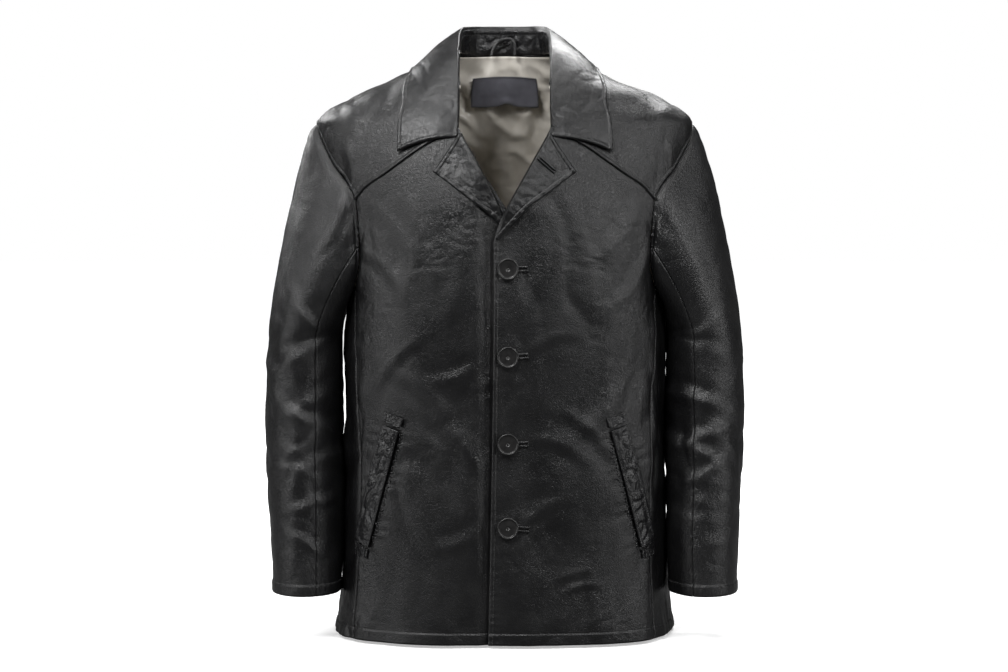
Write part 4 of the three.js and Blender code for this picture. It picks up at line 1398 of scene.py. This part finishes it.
for name, side in SIDES.items():
    right = joined([lining_seam, armhole(1, 0)], [LINING_SHARE, 1])
    heights = LINING_HEM, 250, 480, 600, 690, 713
    left = through([[front_angle(FACING_WIDTH + 3, z), z] for z in heights] + [LINING_NECK])
    top = straight(LINING_NECK, [90, SHOULDER])
    plan = patch(straight(ends(left)[0], ends(right)[0]), top, left, right)
    piece, p, n = lay(f"satin_front_{name}", 70, 150, body_form(plan, side), satin_relief,
                      SATIN_THICKNESS, SATIN, "satin_lining", body_normal, bevel=0)
    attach(piece, "coat_body")
    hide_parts(f"lining_front_{name}")

low = joined([lining_seam, behind(armhole(1, 0))], [LINING_SHARE, 1])
far = far_side(low)
top = joined([straight([90, SHOULDER], [96, 745]), straight([96, 745], [264, 745]),
              straight([264, 745], [270, SHOULDER])], [0.3, 0.7, 1])
plan = patch(straight(ends(low)[0], ends(far)[0]), top, low, far)
piece, p, n = lay("satin_back", 190, 220, body_form(plan, 1), satin_relief, SATIN_THICKNESS,
                  SATIN, "satin_lining", body_normal, bevel=0, amount=0.2)
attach(piece, "coat_body")
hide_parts("lining_back")

# %% [markdown]
# ## The label
# The label is a blank woven patch, whip-stitched to the lining. Its lower edge has worked loose
# in the middle. A flat card would look pasted on, so it has its own grid with ripples.

# %% Blank label
def back_angle(x, z):
    back = track(BODY, np.float64(z))
    return 180 - math.degrees(math.atan2(x, back[2] * math.sqrt(1 - (x / back[0]) ** 2)))


LABEL_HALF_WIDTH = 46
LABEL_HEIGHTS = 682, 722
low, high = [[back_angle(LABEL_HALF_WIDTH, z), z] for z in LABEL_HEIGHTS]
low_far, high_far = [360 - low[0], low[1]], [360 - high[0], high[1]]
plan = patch(straight(low, low_far), straight(high, high_far),
             straight(low, high), straight(low_far, high_far))


def label_relief(p, u, v):
    loose = np.exp(-(((u - 0.47) / 0.13) ** 2)) * (1 - smooth(v, 0, 0.35))
    ripple = 0.5 * noise(p / 16, 91) + 0.25 * np.sin(u * 40) * (1 - smooth(v, 0, 0.2))
    return -LINING_DEPTH - 6.0 - 2.2 * loose + ripple


def label_plan(u, v):
    outline = plan(u, v)
    outline[..., 1] += 5.0 * np.exp(-(((u - 0.47) / 0.12) ** 2)) * (1 - smooth(v, 0, 0.5))
    return outline


piece, label_p, label_n = lay("blank_label", 60, 28, body_form(label_plan, 1), label_relief, 0.8,
                              LABEL, "label_cloth", body_normal, bevel=0.25, amount=0.2)
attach(piece, "coat_body")
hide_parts("label_patch")
runs = [line_beside(label_p - label_n * 0.9, -label_n, edge, 0.5)
        for edge in ("left", "right", "bottom", "top")]
whip = stitch_piece("label_whip_stitches", runs, length=4.0, pitch=2.9, radius=0.5, slant=1.1)
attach(whip, "coat_body")

# %% [markdown]
# ## Shoulder pads and pocket bags
# A thin pad of wadding shapes each shoulder, and a bag of twill hangs behind each welt. They lie
# hidden between leather and satin, but a cut through the coat would show them.

# %% Shoulder pads and pocket bags
for name, side in SIDES.items():
    front_line, back_line = straight([85, 670], [80, 706]), straight([95, 670], [100, 706])
    plan = patch(straight(ends(front_line)[0], ends(back_line)[0]),
                 straight(ends(front_line)[1], ends(back_line)[1]), front_line, back_line)
    piece, p, n = lay(f"wadding_pad_{name}", 30, 30, body_form(plan, side),
                      lambda p, u, v: -6.6 + 1.1 * np.sin(u * math.pi) * np.sin(v * math.pi), 3.4,
                      WADDING, "pad_wadding", body_normal, bevel=1.2)
    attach(piece, "coat_body")
    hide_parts(f"shoulder_pad_{name}")
    corners = on_front([[90, 70], [170, 70], [88, 250], [150, 262]])
    plan = patch(straight(corners[0], corners[1]), straight(corners[2], corners[3]),
                 straight(corners[0], corners[2]), straight(corners[1], corners[3]))
    piece, p, n = lay(f"twill_pocket_bag_{name}", 30, 50, body_form(plan, side),
                      lambda p, u, v: -3.6 + 0.2 * noise(p / 20, 93), 1.6, POCKET,
                      "pocket_cloth", body_normal)
    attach(piece, "coat_body")
    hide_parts(f"pocket_bag_{name}")

# %% [markdown]
# ## Collar and lapels
# The collar is one leaf that stands up from the neck, rolls over and falls on the shoulders.
# Its edge hides four layers of leather, so it is thick, rolled and topstitched. The stand
# inside it is crinkled by wear.

# %% The collar's leaf
# share of the way from the middle of the back to the front, x, y and height
COLLAR_FOLD = np.array([
    [0, 0, 84, 783], [0.22, 34, 77, 783], [0.42, 55, 48, 781], [0.6, 61, 3, 765],
    [0.7, 61, -38, 742], [0.8, 60, -66, 714], [0.9, 59.5, -88, 678], [1, 60, -105, 637],
])
COLLAR_EDGE = np.array([
    [0, 0, 99, 710], [0.22, 66, 88, 714], [0.42, 108, 44, 726],
    [0.6, 121, -8, 724], [0.8, 126, -66, 686], [1, 136, -100, 619],
])
COLLAR_LIFT = 7


def along_collar(rows, u):
    p = track(rows, np.abs(2 * u - 1))
    return p * np.stack([np.where(u < 0.5, -1, 1), np.ones_like(u), np.ones_like(u)], axis=-1)


def clear_of_body(p, clearance):
    angle = np.degrees(np.arctan2(p[..., 0], -p[..., 1]))
    wall = body_point(angle, np.minimum(p[..., 2], NECK_TOP))
    wanted = np.linalg.norm(wall[..., :2], axis=-1) + clearance
    now = np.linalg.norm(p[..., :2], axis=-1)
    beside = 1 - smooth(p[..., 2], 738, 756)
    grow = (1 + (np.maximum(wanted / np.maximum(now, 1), 1) - 1) * beside)[..., None]
    return p * np.concatenate([grow, grow, np.ones_like(grow)], axis=-1)


ROLL_SHARE = 0.10  # share of the leaf that turns over the fold to the inside


def collar_form(u, v):
    fold, edge = along_collar(COLLAR_FOLD, u), along_collar(COLLAR_EDGE, u)
    middle = fold + (edge - fold) * 0.45
    middle[..., 2] += COLLAR_LIFT
    middle[..., 0] += np.sign(middle[..., 0]) * np.minimum(np.abs(middle[..., 0]), COLLAR_LIFT)
    t = ((v - ROLL_SHARE) / (1 - ROLL_SHARE)).clip(0, 1)[..., None]
    leaf = (1 - t) ** 2 * fold + 2 * t * (1 - t) * middle + t * t * edge
    leaf = clear_of_body(leaf, 1.5 + 3.0 * smooth(t[..., 0], 0, 0.3))
    turn = (1 - (v / ROLL_SHARE).clip(0, 1))[..., None]
    inwards = -from_axis(fold) / np.linalg.norm(from_axis(fold), axis=-1, keepdims=True)
    ease_over = np.sin(turn * math.pi / 2)
    drop = (1 - np.cos(turn * math.pi / 2)) * 9
    rise = 2.4 * np.sin(turn * math.pi) * (1 - turn)
    return leaf + inwards * ease_over * 4.2 + np.array([0, 0, 1]) * (rise - drop)


def collar_relief(p, u, v):
    kinds = {"left": "edge", "right": "edge", "bottom": None, "top": "edge"}
    h = 0.8 * noise(p / 60, 101) + 0.35 * bulges(p, 26, 102) + 0.12 * bulges(p, 9, 103)
    return h * smooth(v, 0.0, 0.2) + seam_relief(p, kinds, 104)


piece, collar_p, collar_n = lay("leather_collar", 300, 64, collar_form, collar_relief, 2.6, COLLAR,
                                "shell_leather", lambda p: p - [0, 0, 600], bevel=0.7, amount=0.45)
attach(piece, "coat_body")
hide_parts("collar_leaf")
body_stitches += [line_beside(collar_p, collar_n, "top", BAND, (0.02, 0.98)),
                  line_beside(collar_p, collar_n, "left", BAND, (0.15, 0.92)),
                  line_beside(collar_p, collar_n, "right", BAND, (0.15, 0.92))]


# %% [markdown]
# ## The collar's stand
# The stand is the upright strip inside the neck that holds the leaf up. It is the most crinkled
# leather of all. It could be one piece with the leaf, but it is cut and sewn by itself.

# %% The collar's stand
def stand_form(u, v):
    share = 0.16 + 0.68 * u
    fold = along_collar(COLLAR_FOLD, share)
    base = fold * [0.97, 0.95, 1]
    base[..., 2] = np.minimum(NECK_TOP + 1, fold[..., 2] - 18)
    top = fold * [0.945, 0.945, 1] - [0, 0, 4]
    return base + (top - base) * v[..., None]


def stand_relief(p, u, v):
    kinds = {"left": None, "right": None, "bottom": "plain", "top": "edge"}
    ripples = 1.2 * bulges(p * [1, 1, 0.7], 19, 111) + 0.3 * bulges(p, 9, 112)
    return ripples * smooth(v, 0, 0.25) * (1 - smooth(v, 0.6, 0.75)) + 0.6 * seam_relief(p, kinds, 113)


piece, p, n = lay("leather_collar_stand", 220, 30, stand_form, stand_relief, 1.4, WELT, "shell_leather",
                  lambda p: -from_axis(p), bevel=0.3, amount=0.3)
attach(piece, "coat_body")
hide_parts("collar_stand")
body_stitches.append(line_beside(p, n, "top", 7, (0.08, 0.92)))

# %% [markdown]
# ## The lapels
# A lapel is the front's own facing, turned back along the roll line. It lies a little proud and
# rises at the roll, where the leather won't fold flat. Bending one panel double would crease at
# the fold, so the turned part is laid on the front as a sheet of its own.

# %% The lapels
TIP = [90, 593]
for name, side in SIDES.items():
    low = [-12, FRONT_BREAK + 4] if side > 0 else [-4, 524]
    middle = [4, 552] if side > 0 else [9, 556]
    roll = through(on_front([low, middle, [33, 604], [55, 643]]))
    outer = through(on_front([[low[0] + 5, low[1] - 2], [25, 544], [58, 569], TIP]))
    gorge = through(on_front([[55, 643], [71, 620], TIP]))
    plan = patch(straight(ends(roll)[0], ends(outer)[0]), gorge, roll, outer)
    kinds = {"left": None, "right": "edge", "bottom": None, "top": "edge"}

    def lapel_relief(p, u, v, kinds=kinds):
        across = np.linalg.norm(np.diff(p, axis=1), axis=-1)
        d = np.pad(np.cumsum(across, axis=1), ((0, 0), (1, 0)))
        roll_up = 4.6 * np.exp(-((d / 17) ** 2)) * smooth(d, 0, 3.0) * smooth(v, 0, 0.3)
        h = 0.7 * noise(p / 40, 121) + 0.35 * bulges(p, 16, 122) + 0.16 * bulges(p, 7, 123)
        return 2.6 + roll_up + h * smooth(u, 0, 0.1) + seam_relief(p, kinds, 124)

    form = body_form(plan, side, underlap if side < 0 else None)
    piece, p, n = lay(f"leather_lapel_{name}", 84, 130, form, lapel_relief, 2.4, COLLAR,
                      "shell_leather", body_normal, bevel=0.7, amount=0.45)
    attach(piece, "coat_body")
    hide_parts(f"lapel_{name}")
    body_stitches += [line_beside(p, n, "right", BAND, (0.1, 0.95)),
                      line_beside(p, n, "top", BAND, (0.2, 0.86))]
    if side > 0:
        lapel_left = (p, n)

# %% [markdown]
# ## Pockets
# A welt is a folded strip let in on a slant, with a short tab closing it at each end. Hands
# have stretched and crinkled it more than anything else on the coat.

# %% Welts and tabs
pocket_pieces = {
    "pocket_welt": ([[172, 117], [190, 127], [133, 267], [153, 274]], (26, 120), 3.4, 2.4),
    "pocket_tab_top": ([[131, 271], [152, 279], [127, 283], [151, 291]], (30, 20), 2.9, 1.5),
    "pocket_tab_low": ([[174, 103], [190, 106], [172.5, 115], [190, 124.5]], (26, 24), 2.9, 1.5),
}
rims = []
for name, side in SIDES.items():
    for kind, (corners, grid, rise, thick) in pocket_pieces.items():
        c = on_front(corners)
        plan = patch(straight(c[0], c[1]), straight(c[2], c[3]),
                     straight(c[0], c[2]), straight(c[1], c[3]))

        def welt_relief(p, u, v, rise=rise, kind=kind):
            crown = 0.9 * np.sin(u * math.pi) if kind == "pocket_welt" else 0.3 * np.sin(u * math.pi)
            seed = 131 if p[0, 0, 0] > 0 else 141
            crinkle = 1.25 * bulges(p * [1, 1, 0.85], 15, seed) + 0.25 * bulges(p, 8, seed + 1)
            inner = smooth(np.minimum(u, 1 - u), 0.08, 0.22) * smooth(np.minimum(v, 1 - v), 0.01, 0.05)
            frame = 0.7 * (1 - inner)
            amount = 1 if kind == "pocket_welt" else 0.3
            return rise - 1.0 + crown + frame + amount * crinkle * inner

        piece, p, n = lay(f"leather_{kind}_{name}", *grid, body_form(plan, side), welt_relief, thick, WELT,
                          "shell_leather", body_normal, bevel=0.6, amount=0.3)
        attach(piece, "coat_body")
        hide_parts(f"{kind}_{name}")
        if kind == "pocket_welt":
            body_stitches.append(line_beside(p, n, "left", 2.2, (0.02, 0.98)))
            rims.append((p[4:-4, 0], side))

# %% [markdown]
# ## Gathers beside the welts
# The pocket's bag is sewn through the front on the welt's inner side, which gathers the leather
# into a row of short tucks. They are made as the stitches are, but fat and of leather.

# %% Gathers beside the welts
gathers = []
for path, side in rims:
    on_form = path + np.array([-side * 5.5, 0, -1.2])
    place = [surface_near(*fronts["left" if side > 0 else "right"], x, z) for x, _, z in on_form]
    gathers.append((np.array([q for q, _ in place]), np.array([q for _, q in place])))
gathered = stitch_piece("pocket_gathers", gathers, WELT,
                        length=7.5, pitch=5.0, radius=0.95, slant=1.5)
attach(gathered, "coat_body")

# %% [markdown]
# ## Buttons and buttonholes
# A button is turned on a lathe, so it is spun from its profile: a raised rim, a shallow dish
# and a small eye in the middle. It sits on a shank of wound thread. Each buttonhole is bound
# with two rolled lips of leather.


# %% Button profile
BUTTON_HEIGHTS = [472, 362, 253, 148]


def facing_out(z):
    """The place on the front at that height and the turn that faces its normal."""
    low, mid, high = body_point(np.zeros(3), np.array([z - 2.0, z, z + 2.0]))
    slope = math.atan2(high[1] - low[1], high[2] - low[2])
    return mid, Matrix.Rotation(math.pi / 2 - slope, 4, "X")


def spun(name, profile, material, z, lift, steps=56):
    """Turns a profile of radius and height about its axis and sets it on the front."""
    bm = bmesh.new()
    points = [bm.verts.new((r * MM, 0, h * MM)) for r, h in profile]
    edges = [bm.edges.new(pair) for pair in zip(points, points[1:])]
    bmesh.ops.spin(bm, geom=points + edges, cent=(0, 0, 0), axis=(0, 0, 1), dvec=(0, 0, 0),
                   angle=2 * math.pi, steps=steps, use_merge=True)
    bmesh.ops.remove_doubles(bm, verts=bm.verts, dist=1e-6)
    bmesh.ops.recalc_face_normals(bm, faces=bm.faces)
    place, turn = facing_out(z)
    place = place + [BUTTON_X, -lift, 0]
    bmesh.ops.transform(bm, matrix=Matrix.Translation(to_metres(place)) @ turn, verts=bm.verts)
    mesh = bpy.data.meshes.new(name)
    bm.to_mesh(mesh)
    bm.free()
    return shown(mesh, material)


def button_profile():
    """Back, rounded rim, inner step, dish and the eye in the middle."""
    r = BUTTON_RADIUS
    rim = [(r - 1.0 + 1.0 * math.cos(a), 3.0 + 1.0 * math.sin(a)) for a in np.linspace(-1.3, 3.0, 14)]
    dish = [(r - 2.2, 2.4), (r - 2.7, 2.1), (r - 4.5, 1.95), (3.6, 1.8), (2.6, 1.65), (2.0, 1.2), (1.5, 0.6)]
    eye = [(1.0, 0.6), (0.6, 1.0), (0, 1.1)]
    return [(0, 0.2), (r - 4, 0.2), (r - 1.6, 1.0)] + rim + dish + eye


print("button radius", BUTTON_RADIUS, "mm, profile points", len(button_profile()))

# %% [markdown]
# ## The four buttons
# Each button rides on its own body, because it turns on its shank. The shank is spun too, from
# a wavy profile that reads as wound thread.

# %% The four buttons
BUTTON_LIFT = 3.6  # the button's back stands this far off the leather
for i, z in enumerate(BUTTON_HEIGHTS, 1):
    piece = spun(f"horn_button_{i}", button_profile(), HORN, z, BUTTON_LIFT)
    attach(piece, f"button_{i}")
    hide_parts(f"button_{i}")
    coils = [(1.5 + 0.3 * math.cos(t * 2 * math.pi * 6), -9.6 + 9.4 * t)
             for t in np.linspace(0, 1, 60)]
    piece = spun(f"thread_shank_{i}", [(0, -9.7)] + coils + [(0, -0.1)], THREAD,
                 z, BUTTON_LIFT, 20)
    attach(piece, "coat_body")
    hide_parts(f"button_shank_{i}")


# %% [markdown]
# ## Bound buttonholes
# A bound buttonhole is a slit whose edges are wrapped in narrow rolls of leather. Each roll is a
# box with round edges, and a short bar closes each end. The slit between them stays open.

# %% Bound buttonholes
def rolled_lips(name, corner, width, gap, path, normal):
    """Two padded lips on either side of a slit that runs along the path."""
    bm = bmesh.new()
    forward = (path[-1] - path[0]) / np.linalg.norm(path[-1] - path[0])
    across = np.cross(normal, forward)
    length = np.linalg.norm(path[-1] - path[0])
    middle = (path[0] + path[-1]) / 2
    turn = Matrix([list(forward), list(across), list(normal)]).transposed().to_4x4()

    def roll(centre, size, rounding, segments):
        made = bmesh.ops.create_cube(
            bm, size=1, matrix=Matrix.Translation(to_metres(centre)) @ turn @ size)
        edges = list({e for v in made["verts"] for e in v.link_edges})
        bmesh.ops.bevel(bm, geom=edges, offset=rounding * MM, segments=segments, profile=0.5,
                        affect="EDGES", material=-1)

    for way in (-1, 1):
        centre = middle + across * way * (gap + width) / 2 + normal * 1.1
        size = Matrix.Diagonal(((length + 3) * MM, width * MM, 2.6 * MM, 1))
        roll(centre, size, corner, 4)
    for way in (-1, 1):
        centre = middle + forward * way * (length + 1) / 2 + normal * 0.9
        size = Matrix.Diagonal((2.0 * MM, (gap + width * 2) * 0.96 * MM, 2.2 * MM, 1))
        roll(centre, size, 0.7, 3)
    mesh = bpy.data.meshes.new(name)
    bm.to_mesh(mesh)
    bm.free()
    piece = shown(mesh, WELT)
    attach(piece, "coat_body")
    return piece


left_p, left_n = fronts["left"]
for i, z in enumerate(BUTTON_HEIGHTS, 1):
    start_point, normal = surface_near(left_p, left_n, BUTTON_X, z)
    end_point, _ = surface_near(left_p, left_n, SLIT_END_X, z)
    slit = np.array([start_point, end_point])
    piece = rolled_lips(f"buttonhole_lips_{i}", 1.2, 3.3, 1.5, slit, normal)
    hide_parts(f"buttonhole_{i}")

p, n = lapel_left
first, normal = surface_near(p, n, 43, 610)
second, _ = surface_near(p, n, 62, 594)
rolled_lips("lapel_buttonhole", 1.0, 2.2, 1.2, np.array([first, second]), normal)
print("buttonholes", len(BUTTON_HEIGHTS), "and one in the lapel")


# %% [markdown]
# ## Hanger loop
# A narrow tube of leather, pressed flat in the middle, hangs from the collar's seam. A curve
# with a round profile would do, but the same sheet maker gives it grain and soft dents.

# %% Hanger loop
LOOP = through([[-18, 68, 745], [-15, 69.6, 753], [-8, 71, 763], [0, 71.4, 766],
                [8, 71, 766], [12, 69.8, 762], [13, 69, 754], [13, 68, 745]])


def loop_form(u, v):
    centre = LOOP(v)
    ahead = LOOP((v + 0.01).clip(0, 1)) - LOOP((v - 0.01).clip(0, 1))
    ahead /= np.linalg.norm(ahead, axis=-1, keepdims=True)
    side = np.cross(ahead, [0, 1, 0])
    side /= np.linalg.norm(side, axis=-1, keepdims=True)
    out = np.cross(side, ahead)
    turn = (2 * math.pi * u)[..., None]
    pressed = 1 - 0.25 * np.exp(-((v[..., None] - 0.5) / 0.6) ** 2)
    return centre + (side * np.cos(turn) * 2.3 + out * np.sin(turn) * 1.5 * pressed) - [0, 1.5, 0]


def from_loop(p):
    return p - LOOP(np.linspace(0, 1, p.shape[0]))[:, None]


piece, p, n = lay("leather_hanger_loop", 18, 60, loop_form,
                  lambda p, u, v: 0.18 * bulges(p, 5, 151), 0.5, COLLAR,
                  "shell_leather", from_loop, ring=True, bevel=0, amount=0)
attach(piece, "hanger_loop")
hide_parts("hanger_loop")
print("hanger loop faces", len(piece.data.polygons))

# %% [markdown]
# ## The topstitching
# Every row that the panels noted is sewn at the end as one piece of thread, which keeps the
# list of pieces short.

# %% All the topstitching of the body
sewing = stitch_piece("stitches_body", body_stitches)
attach(sewing, "coat_body")
